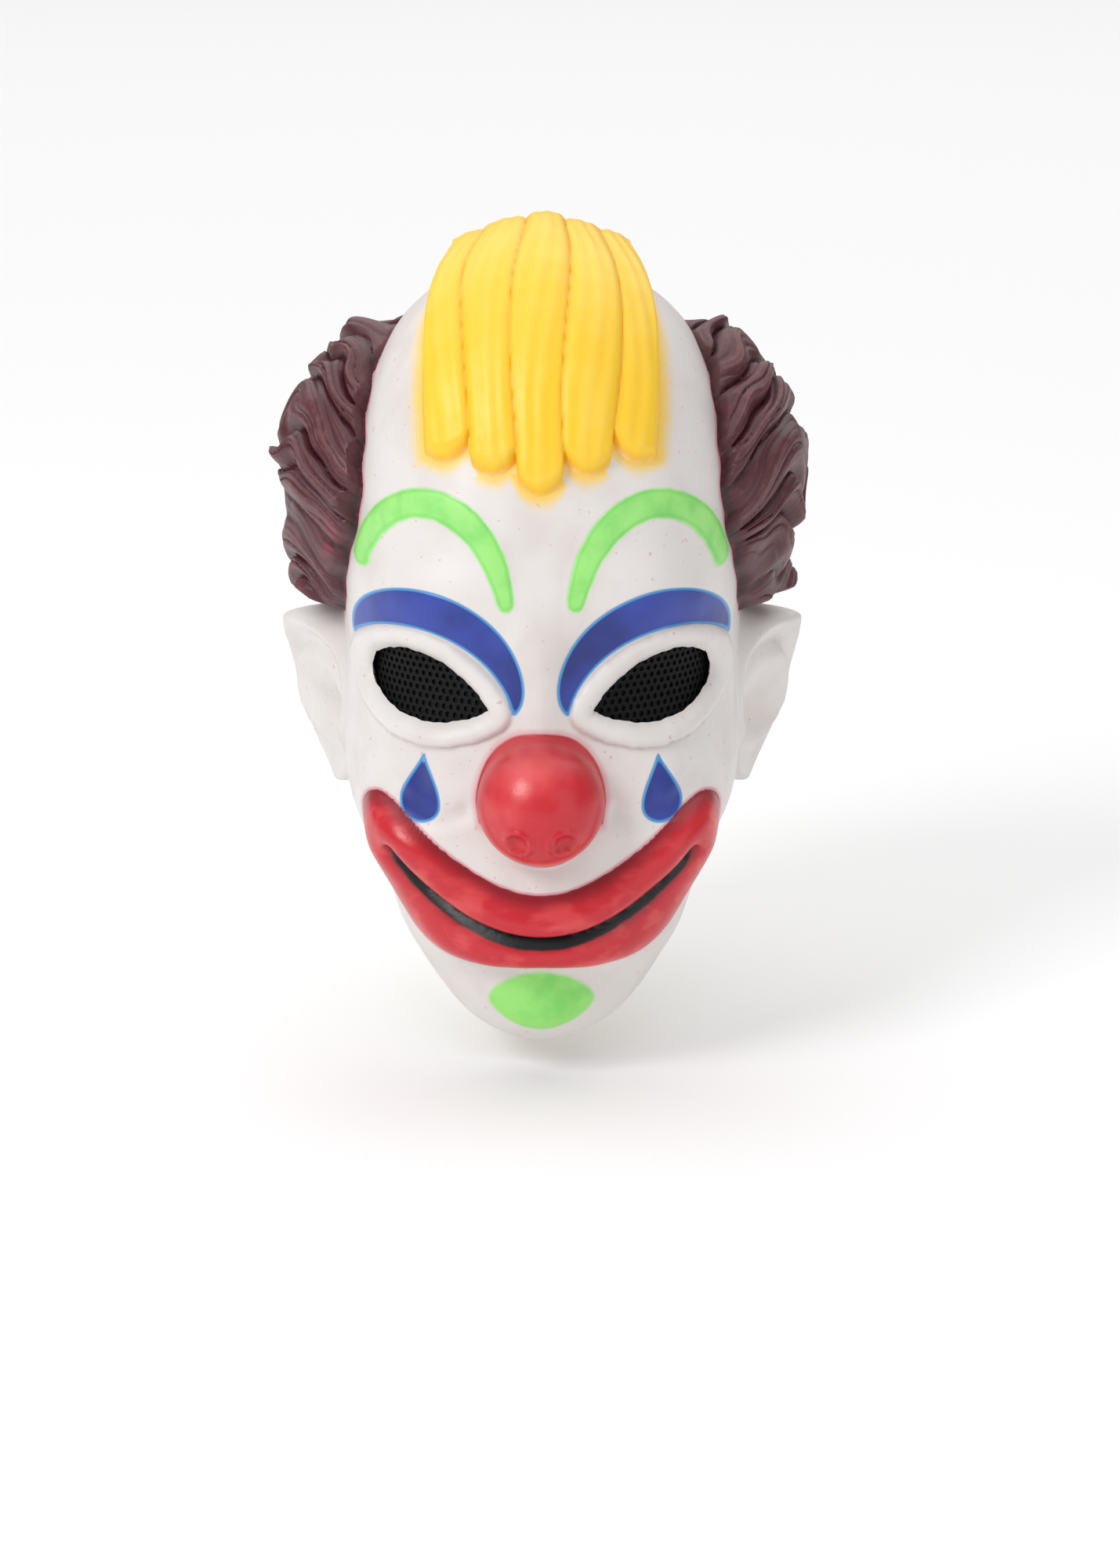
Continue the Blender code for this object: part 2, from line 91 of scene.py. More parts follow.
class Form(NamedTuple):
    """A swelling of the face: shares of the half width and chin height, and its rise in metres."""

    across: float
    up: float
    half_width: float
    half_height: float
    rise: float


class HairRow(NamedTuple):
    """The hairline at a height share: its place as a share of the reach, and the hair's swell."""

    height: float
    back: float
    swell: float


class TuftRow(NamedTuple):
    """The tuft's half width at a share of the way from its foot to the cut edge."""

    along: float
    half_width: float


def between_rows(rows: tuple, at: Grid, column: str, key: str = "height") -> Grid:
    """Reads a table between its rows, on a smooth curve.

    Args:
        rows: The table's rows, in rising order of their key.
        at: The keys to read at.
        column: The column to read.
        key: The column that orders the rows.

    Returns:
        The column's value at each key.
    """
    knots = np.array([getattr(row, key) for row in rows], float)
    values = np.array([getattr(row, column) for row in rows], float)
    slopes = np.gradient(values, knots)
    at = np.clip(at, knots[0], knots[-1])
    i = np.clip(np.searchsorted(knots, at) - 1, 0, len(knots) - 2)
    span = knots[i + 1] - knots[i]
    t = (at - knots[i]) / span
    start = (1 + 2 * t) * (1 - t) ** 2 * values[i] + t * (1 - t) ** 2 * span * slopes[i]
    end = t**2 * (3 - 2 * t) * values[i + 1] - t**2 * (1 - t) * span * slopes[i + 1]
    return start + end


def eased(value: Grid) -> Grid:
    """Gives 0 below 0, 1 above 1, and an S-curve between."""
    t = np.clip(value, 0, 1)
    return t * t * (3 - 2 * t)


def ripple(points: Grid, wavelength: float, seed: int) -> Grid:
    """Makes a smooth random field over points.

    Args:
        points: Places, one row each.
        wavelength: The rough size of its waves, in metres.
        seed: Which field.

    Returns:
        A value near -1 to 1 for each place.
    """
    rng = np.random.default_rng(seed)
    total = np.zeros(len(points))
    waves = 7
    for _ in range(waves):
        way = rng.normal(size=points.shape[1])
        way /= np.linalg.norm(way)
        length = wavelength * rng.uniform(0.7, 1.5)
        total += np.sin(points @ way * math.tau / length + rng.uniform(0, math.tau))
    return total / waves * 2


def segment_gap(x: Grid, z: Grid, first: Grid, last: Grid) -> Grid:
    """Measures from each (x, z) to its own straight stretch between two points.

    Args:
        x: The places' x.
        z: The places' z.
        first: Where each stretch starts.
        last: Where each stretch ends.

    Returns:
        The distances.
    """
    way = last - first
    length = np.maximum((way**2).sum(axis=1), 1e-18)
    share = ((x - first[:, 0]) * way[:, 0] + (z - first[:, 1]) * way[:, 1]) / length
    foot = first + way * np.clip(share, 0, 1)[:, None]
    return np.hypot(x - foot[:, 0], z - foot[:, 1])


def gap_to(x: Grid, z: Grid, line: Grid, closed: bool = False) -> tuple[Grid, Grid]:
    """Measures from each (x, z) to a line through points.

    Args:
        x: The places' x.
        z: The places' z.
        line: The line's points.
        closed: Whether its last point joins its first.

    Returns:
        The distance to the line, and the number of its nearest point.
    """
    nearest = np.empty(len(x), int)
    block = 20000
    for i in range(0, len(x), block):
        part = slice(i, i + block)
        gaps = (x[part, None] - line[:, 0]) ** 2 + (z[part, None] - line[:, 1]) ** 2
        nearest[part] = gaps.argmin(axis=1)
    last = len(line) - 1
    before, after = nearest - 1, nearest + 1
    before = before % (last + 1) if closed else np.maximum(before, 0)
    after = after % (last + 1) if closed else np.minimum(after, last)
    one = segment_gap(x, z, line[before], line[nearest])
    other = segment_gap(x, z, line[nearest], line[after])
    return np.minimum(one, other), nearest


def inside(x: Grid, z: Grid, line: Grid) -> Grid:
    """Says whether each (x, z) lies within a closed outline, by counting the sides it crosses.

    Args:
        x: The places' x.
        z: The places' z.
        line: The outline's points.

    Returns:
        True for each place inside.
    """
    count = np.zeros(len(x), int)
    ends = np.roll(line, -1, axis=0)
    for (x0, z0), (x1, z1) in zip(line, ends):
        if z0 != z1:
            spans = (z0 > z) != (z1 > z)
            count += spans & (x < x0 + (z - z0) * (x1 - x0) / (z1 - z0))
    return count % 2 == 1


def depth_in(x: Grid, z: Grid, line: Grid, reach: float = 0.012) -> Grid:
    """Measures how far each (x, z) lies inside a closed outline.

    Args:
        x: The places' x.
        z: The places' z.
        line: The outline's points.
        reach: How far outside it still measures.

    Returns:
        The distance to the outline, negative outside it, and no less than minus the reach.
    """
    low, high = line.min(axis=0) - reach, line.max(axis=0) + reach
    near = (x > low[0]) & (x < high[0]) & (z > low[1]) & (z < high[1])
    depth = np.full(len(x), -reach)
    gap, _ = gap_to(x[near], z[near], line, closed=True)
    depth[near] = np.where(inside(x[near], z[near], line), gap, -gap)
    return np.maximum(depth, -reach)


def closed_curve(points: tuple, steps: int) -> Grid:
    """Draws a smooth closed curve through points in the plane.

    Args:
        points: The points that it passes through.
        steps: How many points to give.

    Returns:
        The points, one row each.
    """
    knots = np.array(points, float)
    at = np.linspace(0, len(knots), steps, endpoint=False)
    i = at.astype(int)
    t = (at - i)[:, None]
    a, b, c, d = (knots[(i + k) % len(knots)] for k in (-1, 0, 1, 2))
    curve = 2 * b + (c - a) * t + (2 * a - 5 * b + 4 * c - d) * t**2
    return (curve + (3 * b - a - 3 * c + d) * t**3) / 2


def mirrored(points: tuple) -> tuple:
    """Closes a half outline with its mirror image, from a point on the middle line to another."""
    return points + tuple((-x, z) for x, z in points[-2:0:-1])


def bezier(corners: tuple, steps: int) -> Grid:
    """Draws a cubic curve through the plane from its four control points.

    Args:
        corners: The four control points.
        steps: How many points to give.

    Returns:
        The points, one row each.
    """
    a, b, c, d = np.array(corners, float)
    t = np.linspace(0, 1, steps)[:, None]
    return (1 - t) ** 3 * a + 3 * t * (1 - t) ** 2 * b + 3 * t**2 * (1 - t) * c + t**3 * d


@dataclass(frozen=True)
class HeadForm:
    """The plain head that the shell is moulded over."""

    crown_height: float = 0.140
    chin_drop: float = 0.136
    half_width: float = 0.077
    reach: float = 0.099
    back_reach: float = 0.105
    rear_edge: float = 0.034
    crown_roundness: float = 2.6
    chin_roundness: float = 3.0
    wall: float = 0.002
    halvings: int = 34
    sections: tuple = (
        Section(-1.00, 0.730, 1.10, 0.60, 2.1),
        Section(-0.88, 0.755, 1.12, 0.42, 2.2),
        Section(-0.78, 0.805, 1.13, 0.30, 2.3),
        Section(-0.50, 0.900, 1.05, 0.08, 2.4),
        Section(-0.35, 0.950, 1.02, 0.02, 2.5),
        Section(0.00, 0.970, 0.99, 0.00, 2.5),
        Section(0.50, 1.020, 1.01, 0.00, 2.4),
        Section(0.75, 1.030, 1.02, 0.00, 2.3),
        Section(1.00, 1.080, 1.02, 0.00, 2.2),
    )
    cut_edge: tuple = (
        EdgePoint(-1.00, -1.85),
        EdgePoint(-0.90, -1.30),
        EdgePoint(-0.78, -0.75),
        EdgePoint(-0.60, -0.10),
        EdgePoint(-0.44, 0.55),
        EdgePoint(-0.25, 0.95),
        EdgePoint(0.00, 1.00),
        EdgePoint(0.50, 1.00),
        EdgePoint(0.80, 0.75),
        EdgePoint(1.00, 0.30),
    )

    def share(self, z: Grid) -> Grid:
        """Gives height as a share of the crown's above the eyes and of the chin's below."""
        return np.where(z > 0, z / self.crown_height, z / self.chin_drop)

    def section(self, z: Grid) -> tuple[Grid, Grid, Grid, Grid, Grid]:
        """Works out the cross-section at each height.

        Args:
            z: The heights.

        Returns:
            Its half width, the y where it is widest, its depth in front of and behind that, and
            how square it is.
        """
        share = self.share(z)
        roundness = np.where(share > 0, self.crown_roundness, self.chin_roundness)
        cap = np.clip(1 - np.abs(share) ** roundness, 1e-9, 1) ** (1 / roundness)
        half_width = self.half_width * between_rows(self.sections, share, "half_width") * cap
        widest = -self.reach * between_rows(self.sections, share, "widest")
        front = (self.reach * between_rows(self.sections, share, "front") + widest) * cap
        power = between_rows(self.sections, share, "squareness")
        return half_width, widest, front, self.back_reach * cap, power

    def radius(self, ways: Grid) -> Grid:
        """Finds how far the form lies from the origin along each direction, by halving.

        Args:
            ways: Directions from the origin, one row each.

        Returns:
            The distance along each direction.
        """
        low = np.full(len(ways), self.wall)
        high = np.full(len(ways), self.crown_height + self.chin_drop)
        for _ in range(self.halvings):
            middle = (low + high) / 2
            x, y, z = (ways * middle[:, None]).T
            half_width, widest, front, back, power = self.section(z)
            depth = np.where(y < widest, front, back)
            full = (np.abs(x) / half_width) ** power + (np.abs(y - widest) / depth) ** power
            low = np.where(full < 1, middle, low)
            high = np.where(full < 1, high, middle)
        return (low + high) / 2

    def on_front(self, x: Grid, z: Grid) -> Grid:
        """Gives the form's points in front of each (x, z).

        Args:
            x: The places' x.
            z: The places' z.

        Returns:
            The points, one row each.
        """
        half_width, widest, front, _, power = self.section(z)
        left = np.clip(1 - (np.abs(x) / half_width) ** power, 0, 1)
        return np.stack([x, widest - front * left ** (1 / power), z], axis=1)

    def on_side(self, y: Grid, z: Grid, side: Side) -> Grid:
        """Gives the form's points beside each (y, z).

        Args:
            y: The places' y.
            z: The places' z.
            side: Which side of the mask.

        Returns:
            The points, one row each.
        """
        half_width, widest, front, back, power = self.section(z)
        depth = np.where(y < widest, front, back)
        left = np.clip(1 - (np.abs(y - widest) / depth) ** power, 0, 1)
        return np.stack([side.value * half_width * left ** (1 / power), y, z], axis=1)

    def edge_at(self, z: Grid) -> Grid:
        """Gives the y of the cut edge at each height."""
        return self.rear_edge * between_rows(self.cut_edge, self.share(z), "back")


@dataclass(frozen=True)
class Nose:
    """The ball nose, with two shallow ringed dents under it."""

    radius: float = 0.0230
    stand: float = 0.007
    drop: float = 0.0385
    overlap: float = 0.0016
    fillet_rise: float = 0.0016
    fillet_reach: float = 0.0035
    dent: tuple = (0.0083, -0.0190, -0.0100)
    dent_width: float = 0.0036
    dent_depth: float = 0.0022
    ring_radius: float = 0.0049
    ring_width: float = 0.0012
    ring_rise: float = 0.0014

    def centre(self, form: HeadForm) -> Grid:
        """Gives the ball's middle."""
        return np.array([0.0, -form.reach - self.stand, -self.drop])

    def cover(self, ways: Grid, radius: Grid, form: HeadForm) -> tuple[Grid, Grid]:
        """Raises the face to the ball where the ball stands before it.

        Args:
            ways: Directions from the origin.
            radius: How far the face lies along them.
            form: The head form.

        Returns:
            How far the face and the ball lie along them, and how far inside the ball's edge on
            the face they pass.
        """
        centre = self.centre(form)
        distance = np.linalg.norm(centre)
        along = ways @ centre
        room = along**2 - (centre @ centre - self.radius**2)
        ball = along + np.sqrt(np.maximum(room, 0))
        polar = np.arccos(np.clip(along / distance, -1, 1))
        depth = (math.asin(self.radius / distance) - polar) * distance
        depth = np.minimum(depth, ball - radius + self.overlap)
        radius = radius + self.fillet_rise * np.exp(np.minimum(depth, 0) / self.fillet_reach)
        points = ways * ball[:, None] - centre
        points[:, 0] = np.abs(points[:, 0])
        away = np.linalg.norm(points - np.array(self.dent), axis=1)
        ball -= self.dent_depth * np.exp(-((away / self.dent_width) ** 2))
        ball += self.ring_rise * np.exp(-(((away - self.ring_radius) / self.ring_width) ** 2))
        return np.where(room >= -1e-12, np.maximum(radius, ball), radius), depth


@dataclass(frozen=True)
class EyeHole:
    """An almond eye hole with a raised, rounded rim."""

    spacing: float = 0.081
    drop: float = 0.002
    length: float = 0.044
    height: float = 0.030
    tilt: float = math.radians(14)
    sharpness: float = 0.7
    rim_width: float = 0.0082
    rim_rise: float = 0.0034
    unevenness: float = 0.00014
    steps: int = 360

    def around(self, turn: Grid, border: float | Grid = 0.0) -> Grid:
        """Gives points round the hole on the right, widened by a border.

        Args:
            turn: Where each lies, from 0 at the corner by the nose, over the top.
            border: How far outside the cut edge each lies.

        Returns:
            The points' x and z. The cut edge itself is a little uneven.
        """
        fuller = np.sin(turn / 2) ** (self.sharpness / np.where(np.asarray(border) > 0, 2, 1))
        uneven = np.where(np.asarray(border) > 0, 0, self.unevenness)
        uneven = uneven * (np.sin(9 * turn + 1.0) + np.sin(17 * turn + 2.6) + np.sin(31 * turn))
        along = -(self.length / 2 + border + uneven) * np.cos(turn)
        up = (self.height / 2 + border + uneven) * np.sin(turn) * fuller
        x = self.spacing / 2 + along * math.cos(self.tilt) - up * math.sin(self.tilt)
        z = along * math.sin(self.tilt) + up * math.cos(self.tilt) - self.drop
        return np.stack([x, z], axis=1)

    def outline(self, border: float = 0.0) -> Grid:
        """Draws the hole on the right as (x, z), widened by a border."""
        return self.around(np.linspace(0, math.tau, self.steps, endpoint=False), border)

    def gap(self, x: Grid, z: Grid) -> Grid:
        """Measures outwards from the hole's edge, negative inside the hole."""
        return -depth_in(np.abs(x), z, self.outline(), 0.030)

    def rim(self, gap: Grid) -> Grid:
        """Gives the rim's rise, a half round that rolls into the hole and into the face."""
        across = np.clip(2 * gap / self.rim_width - 1, -1, 1)
        return self.rim_rise * (1 - across**2) ** 0.6


@dataclass(frozen=True)
class Lips:
    """The two lips, in one smiling outline, which meet along a dark parting."""

    half_outline: tuple = (
        (0.0, -0.0738),
        (0.0110, -0.0722),
        (0.0220, -0.0675),
        (0.0335, -0.0598),
        (0.0445, -0.0505),
        (0.0520, -0.0440),
        (0.0590, -0.0410),
        (0.0642, -0.0445),
        (0.0655, -0.0530),
        (0.0615, -0.0680),
        (0.0535, -0.0835),
        (0.0450, -0.0945),
        (0.0345, -0.1003),
        (0.0200, -0.1022),
        (0.0100, -0.1018),
        (0.0, -0.1014),
    )
    parting: tuple = ((0.0, -0.0887), (0.0200, -0.0887), (0.0395, -0.0780), (0.0545, -0.0590))
    parting_width: float = 0.0026
    rise: float = 0.0058

    def measure(self, x: Grid, z: Grid) -> tuple[Grid, Grid, Grid]:
        """Measures the lips at each (x, z).

        Args:
            x: The places' x.
            z: The places' z.

        Returns:
            The distance inside the lips' outline, the distance inside the dark parting, and how
            far across a lip the place is, from 0 at the parting to 1 at the outline.
        """
        depth = depth_in(x, z, closed_curve(mirrored(self.half_outline), 600))
        line = bezier(self.parting, 160)
        gap, nearest = gap_to(np.abs(x), z, line)
        along = nearest / (len(line) - 1)
        dark = self.parting_width * np.sqrt(np.clip(1.0 - along**4, 0, 1)) - gap
        full = np.maximum(depth, 0)
        return depth, dark, np.clip(gap / np.maximum(gap + full, MM / 100), 0, 1)

    def swell(self, x: Grid, z: Grid) -> Grid:
        """Gives the lips' rise, full in the middle of each and sunk where they meet.

        Args:
            x: The places' x.
            z: The places' z.

        Returns:
            The rise at each point, in metres.
        """
        depth, dark, across = self.measure(x, z)
        full = np.sin(math.pi * across**0.9) ** 0.74 * (depth > 0)
        return self.rise * full - 1.2 * MM * eased(dark / (2 * MM))


@dataclass(frozen=True)
class FacePaint:
    """The outlines of the painted shapes on one side, and of the one on the chin."""

    brow: tuple = ((0.0125, 0.033), (0.019, 0.073), (0.056, 0.079), (0.066, 0.041))
    brow_half_width: float = 0.0047
    lid_start: float = 0.0098
    lid_depth: float = 0.0165
    lid_ends: tuple = (0.06, 0.94)
    drop_top: tuple = (0.0425, -0.0250)
    drop_bottom: tuple = (0.0445, -0.0482)
    drop_half_width: float = 0.0100
    chin_middle: float = -0.1170
    chin_half_width: float = 0.0195
    chin_half_height: float = 0.0118
    chin_roundness: float = 1.7

    def brows(self, x: Grid, z: Grid) -> Grid:
        """Measures inwards from the edge of the arched brows.

        Args:
            x: The places' x.
            z: The places' z.

        Returns:
            The distance inside the edge, negative outside it.
        """
        line = bezier(self.brow, 160)
        gap, nearest = gap_to(np.abs(x), z, line)
        along = nearest / (len(line) - 1)
        thick = 0.62 + 0.50 * np.sin(math.pi * along**0.8)
        return self.brow_half_width * thick - gap

    def lids(self, x: Grid, z: Grid, eye: EyeHole) -> Grid:
        """Measures inwards from the edge of the half moons over the eyes.

        Args:
            x: The places' x.
            z: The places' z.
            eye: The eye hole under them.

        Returns:
            The distance inside the edge, negative outside it.
        """
        share = np.linspace(0, 1, 120)
        turn = math.pi * (self.lid_ends[0] + (self.lid_ends[1] - self.lid_ends[0]) * share)
        depth = self.lid_depth * np.sin(math.pi * share) ** 1.05
        inner = eye.around(turn, self.lid_start + 0 * share)
        outer = eye.around(turn, self.lid_start + depth)
        return depth_in(np.abs(x), z, np.vstack([inner, outer[::-1]]))

    def drops(self, x: Grid, z: Grid) -> Grid:
        """Measures inwards from the edge of the drops under the eyes.

        Args:
            x: The places' x.
            z: The places' z.

        Returns:
            The distance inside the edge, negative outside it.
        """
        top, bottom = np.array(self.drop_top), np.array(self.drop_bottom)
        way = (bottom - top) / np.linalg.norm(bottom - top)
        turn = np.linspace(0, math.tau, 160, endpoint=False)
        wide = self.drop_half_width * np.sin(turn) * np.sin(turn / 2) ** 1.6
        run = (1 - np.cos(turn)) / 2
        line = top + np.outer(run, bottom - top) + np.outer(wide, (way[1], -way[0]))
        return depth_in(np.abs(x), z, line)

    def chin(self, x: Grid, z: Grid) -> Grid:
        """Measures inwards from the edge of the rounded lozenge on the chin.

        Args:
            x: The places' x.
            z: The places' z.

        Returns:
            The distance inside the edge, negative outside it.
        """
        turn = np.linspace(0, math.tau, 160, endpoint=False)
        power = 2 / self.chin_roundness
        along = np.sign(np.cos(turn)) * np.abs(np.cos(turn)) ** power
        up = np.sign(np.sin(turn)) * np.abs(np.sin(turn)) ** power
        line = np.stack([self.chin_half_width * along, self.chin_half_height * up], axis=1)
        return depth_in(x, z, line + (0, self.chin_middle))


@dataclass(frozen=True)
class Ears:
    """The ears, which flare from the sides of the head to the cut edge."""

    height: float = 0.070
    depth: float = 0.046
    flare: float = 0.022
    setback: float = 0.022
    drop: float = 0.027
    edge_bulge: float = 0.008
    relief: float = 0.009

    def up(self, z: Grid) -> Grid:
        """Gives height from the ear's middle as a share of its half height."""
        return (z + self.drop) / (self.height / 2)

    def edge(self, z: Grid) -> Grid:
        """Gives how far the ear carries the cut edge back."""
        return self.edge_bulge * np.sqrt(np.clip(1 - self.up(z) ** 2, 0, 1))

    def swell(self, plain: Grid, form: HeadForm) -> Grid:
        """Gives the ear's rise from the head, with its rolled edge, bowl, fold and flap.

        Args:
            plain: Points on the plain head form, one row each.
            form: The head form.

        Returns:
            The rise at each point, in metres.
        """
        x, y, z = plain.T
        up = self.up(z)
        middle = form.rear_edge - self.setback
        back = (y - middle) / (self.depth / 2) * (1 + 0.25 * np.clip(-up, 0, 1))
        behind = 0.85 * np.maximum(back - 0.5, 0)
        outline = np.hypot(np.minimum(back, 0) + behind, up)
        fuller = 0.98 + np.where(up > 0, 0.24, 0.72) * np.clip(up, -1, 1)
        flare = self.flare * eased((back + 1) / 1.7) * fuller
        ring = np.hypot(back * 0.92, up)
        helix = 0.42 * np.exp(-(((ring - 0.84) / 0.13) ** 2))
        gutter = -0.34 * np.exp(-(((ring - 0.64) / 0.09) ** 2)) * eased((up + 0.5) / 0.4)
        bowl = -np.exp(-(((back + 0.12) / 0.34) ** 2) - ((up + 0.14) / 0.36) ** 2)
        fold_ring = np.hypot(back + 0.06, up - 0.02)
        fold = 0.34 * np.exp(-(((fold_ring - 0.46) / 0.10) ** 2)) * eased((back + 0.4) / 0.5)
        flap = 0.48 * np.exp(-(((back + 0.66) / 0.17) ** 2) - ((up + 0.18) / 0.20) ** 2)
        lobe = 0.30 * np.exp(-(((back - 0.10) / 0.42) ** 2) - ((up + 0.80) / 0.20) ** 2)
        relief = self.relief * (helix + gutter + bowl + fold + flap + lobe)
        near = np.abs(x) > form.half_width / 2
        return (flare + relief) * eased((1 - outline) / 0.24) * near


@dataclass(frozen=True)
class SideHair:
    """The sculpted hair at one side, in wavy locks that sweep back, swirl and roll over."""

    foot: float = 0.010
    swell: float = 0.027
    step: float = 0.0030
    pitch: float = 0.0135
    lift: float = 0.007
    droop: float = 0.024
    lock_rise: float = 0.0050
    clump_rise: float = 0.0022
    strand_rise: float = 0.0013
    fine_rise: float = 0.00028
    curls: int = 9
    top: float = 0.1215
    fade: float = 0.020
    sunk: float = 0.0034
    seat: float = 0.0012
    tuck: float = 0.0005
    line: tuple = (
        HairRow(0.06, -0.12, 0.70),
        HairRow(0.15, -0.24, 0.70),
        HairRow(0.27, -0.39, 0.80),
        HairRow(0.39, -0.49, 1.05),
        HairRow(0.53, -0.48, 0.90),
        HairRow(0.66, -0.34, 0.66),
        HairRow(0.78, -0.12, 0.46),
        HairRow(0.86, 0.10, 0.28),
        HairRow(1.00, 0.50, 0.10),
    )

    def back(self, plain: Grid, form: HeadForm) -> tuple[Grid, Grid]:
        """Measures behind the hairline: in metres, and as a share of the way to the cut edge.

        Args:
            plain: Points on the plain head form, one row each.
            form: The head form.

        Returns:
            The distance behind the hairline, and the share of the way.
        """
        _, y, z = plain.T
        start = form.reach * between_rows(self.line, form.share(z), "back")
        whole = np.maximum(form.edge_at(z) - start, MM)
        return y - start, np.clip((y - start) / whole, 0, 1)

    def swirled(self, plain: Grid, side: Side) -> Grid:
        """Turns patches of the side about their middles, so that the locks curl there.

        Args:
            plain: Points on the plain head form, one row each.
            side: Which side of the mask.

        Returns:
            Each point's y and z once turned.
        """
        points = plain[:, 1:].copy()
        rng = np.random.default_rng(20 + side.value)
        for number in range(self.curls):
            row = number / (self.curls - 1)
            middle = (rng.uniform(-0.036, 0.022), self.foot + 0.006 + 0.092 * row)
            turn = rng.uniform(0.8, 1.5) * (1 if number % 3 else -1)
            reach = rng.uniform(0.0085, 0.0130)
            off = points - middle
            angle = turn * np.exp(-((np.hypot(*off.T) / reach) ** 2))
            across, up = off.T
            turned = across * np.cos(angle) - up * np.sin(angle)
            raised = across * np.sin(angle) + up * np.cos(angle)
            points = np.stack([turned, raised], axis=1) + middle
        return points

    def locks(self, plain: Grid, form: HeadForm, side: Side) -> tuple[Grid, Grid, Grid]:
        """Places each point in its lock.

        Args:
            plain: Points on the plain head form, one row each.
            form: The head form.
            side: Which side of the mask.

        Returns:
            The lock's number, the share of the way across it from its lower edge, and the share
            of the way back from the hairline.
        """
        _, back = self.back(plain, form)
        y, z = self.swirled(plain, side).T
        flow = np.clip((y + 0.042) / 0.075, 0, 1.1)
        wander = 2.2 * MM * ripple(plain[:, 1:], 0.034, 5 + side.value)
        wander += 0.8 * MM * ripple(plain[:, 1:], 0.013, 8 + side.value)
        rise = self.lift * np.sin(0.85 * math.pi * flow) - self.droop * flow**2.4
        phase = (z - self.foot - rise + wander) / self.pitch
        phase = phase + 0.24 * np.sin(2.3 * phase + side.value)
        number = np.floor(phase)
        return number, phase - number, back

    def depth(self, plain: Grid, form: HeadForm) -> Grid:
        """Measures how far each point lies inside the hair's outline.

        Args:
            plain: Points on the plain head form, one row each.
            form: The head form.

        Returns:
            The distance inside the edge, negative outside it.
        """
        behind, back = self.back(plain, form)
        _, y, z = plain.T
        scallop = 1.3 * MM * (1 + np.cos(math.tau * z / 0.0145 + 1.2 * np.sin(z / 0.019)))
        above = z - self.foot + 0.30 * self.droop * back**2.6
        above = above - 1.3 * MM * (1 + np.cos(math.tau * y / 0.017))
        return np.minimum(np.minimum(behind - scallop, above), self.top - z)

    def body(self, plain: Grid, form: HeadForm) -> Grid:
        """Gives the hair's main swelling.

        Args:
            plain: Points on the plain head form, one row each.
            form: The head form.

        Returns:
            The rise at each point, in metres.
        """
        _, back = self.back(plain, form)
        swell = self.swell * between_rows(self.line, form.share(plain[:, 2]), "swell")
        return swell * np.sin(math.pi * (0.05 + 0.78 * back)) * self.fading(plain)

    def fading(self, plain: Grid) -> Grid:
        """Gives the share of the hair's height that is left towards its top."""
        return eased((self.top - plain[:, 2]) / self.fade)

    def under(self, plain: Grid, form: HeadForm) -> Grid:
        """Gives the rise of the wall under the hair.

        Args:
            plain: Points on the plain head form, one row each.
            form: The head form.

        Returns:
            The rise at each point, in metres.
        """
        depth = self.depth(plain, form)
        low = self.body(plain, form) - self.sunk - self.seat
        return np.maximum(low, 0) * eased((depth - 1.5 * MM) / (2 * self.step))

    def relief(self, plain: Grid, form: HeadForm, side: Side) -> tuple[Grid, Grid]:
        """Carves the locks.

        Args:
            plain: Points on the plain head form, one row each.
            form: The head form.
            side: Which side of the mask.

        Returns:
            Their rise over the hair's sunk body, and how near each place is to a crest, 0 to 1.
        """
        number, across, back = self.locks(plain, form, side)
        rng = np.random.default_rng(11)
        size, turn = rng.uniform(0.62, 1.20, 64), rng.uniform(0, math.tau, 64)
        key = (number.astype(int) * 2 + side.value) % 64
        crest = np.sin(math.pi * across**0.74) ** 0.75
        tall = (0.45 + 0.75 * np.sin(math.pi * np.clip(back * 0.95, 0, 1))) * size[key]
        weave = 0.30 * np.sin(math.tau * 1.3 * back + turn[key])
        strand = np.abs(np.sin(math.pi * (2.6 * across + weave + turn[key]))) ** 0.55
        fine = np.abs(np.sin(math.pi * (9 * across + 3 * weave))) ** 0.7
        clump = ripple(plain[:, 1:], 0.026, 30 + side.value) * eased(back * 4)
        rise = self.lock_rise * tall * crest + self.strand_rise * strand * (0.3 + 0.7 * crest)
        rise += self.clump_rise * (clump + 1) / 2 + self.fine_rise * fine
        rise = rise * (0.35 + 0.65 * self.fading(plain))
        return rise, 0.46 * crest + 0.34 * strand + 0.20 * fine


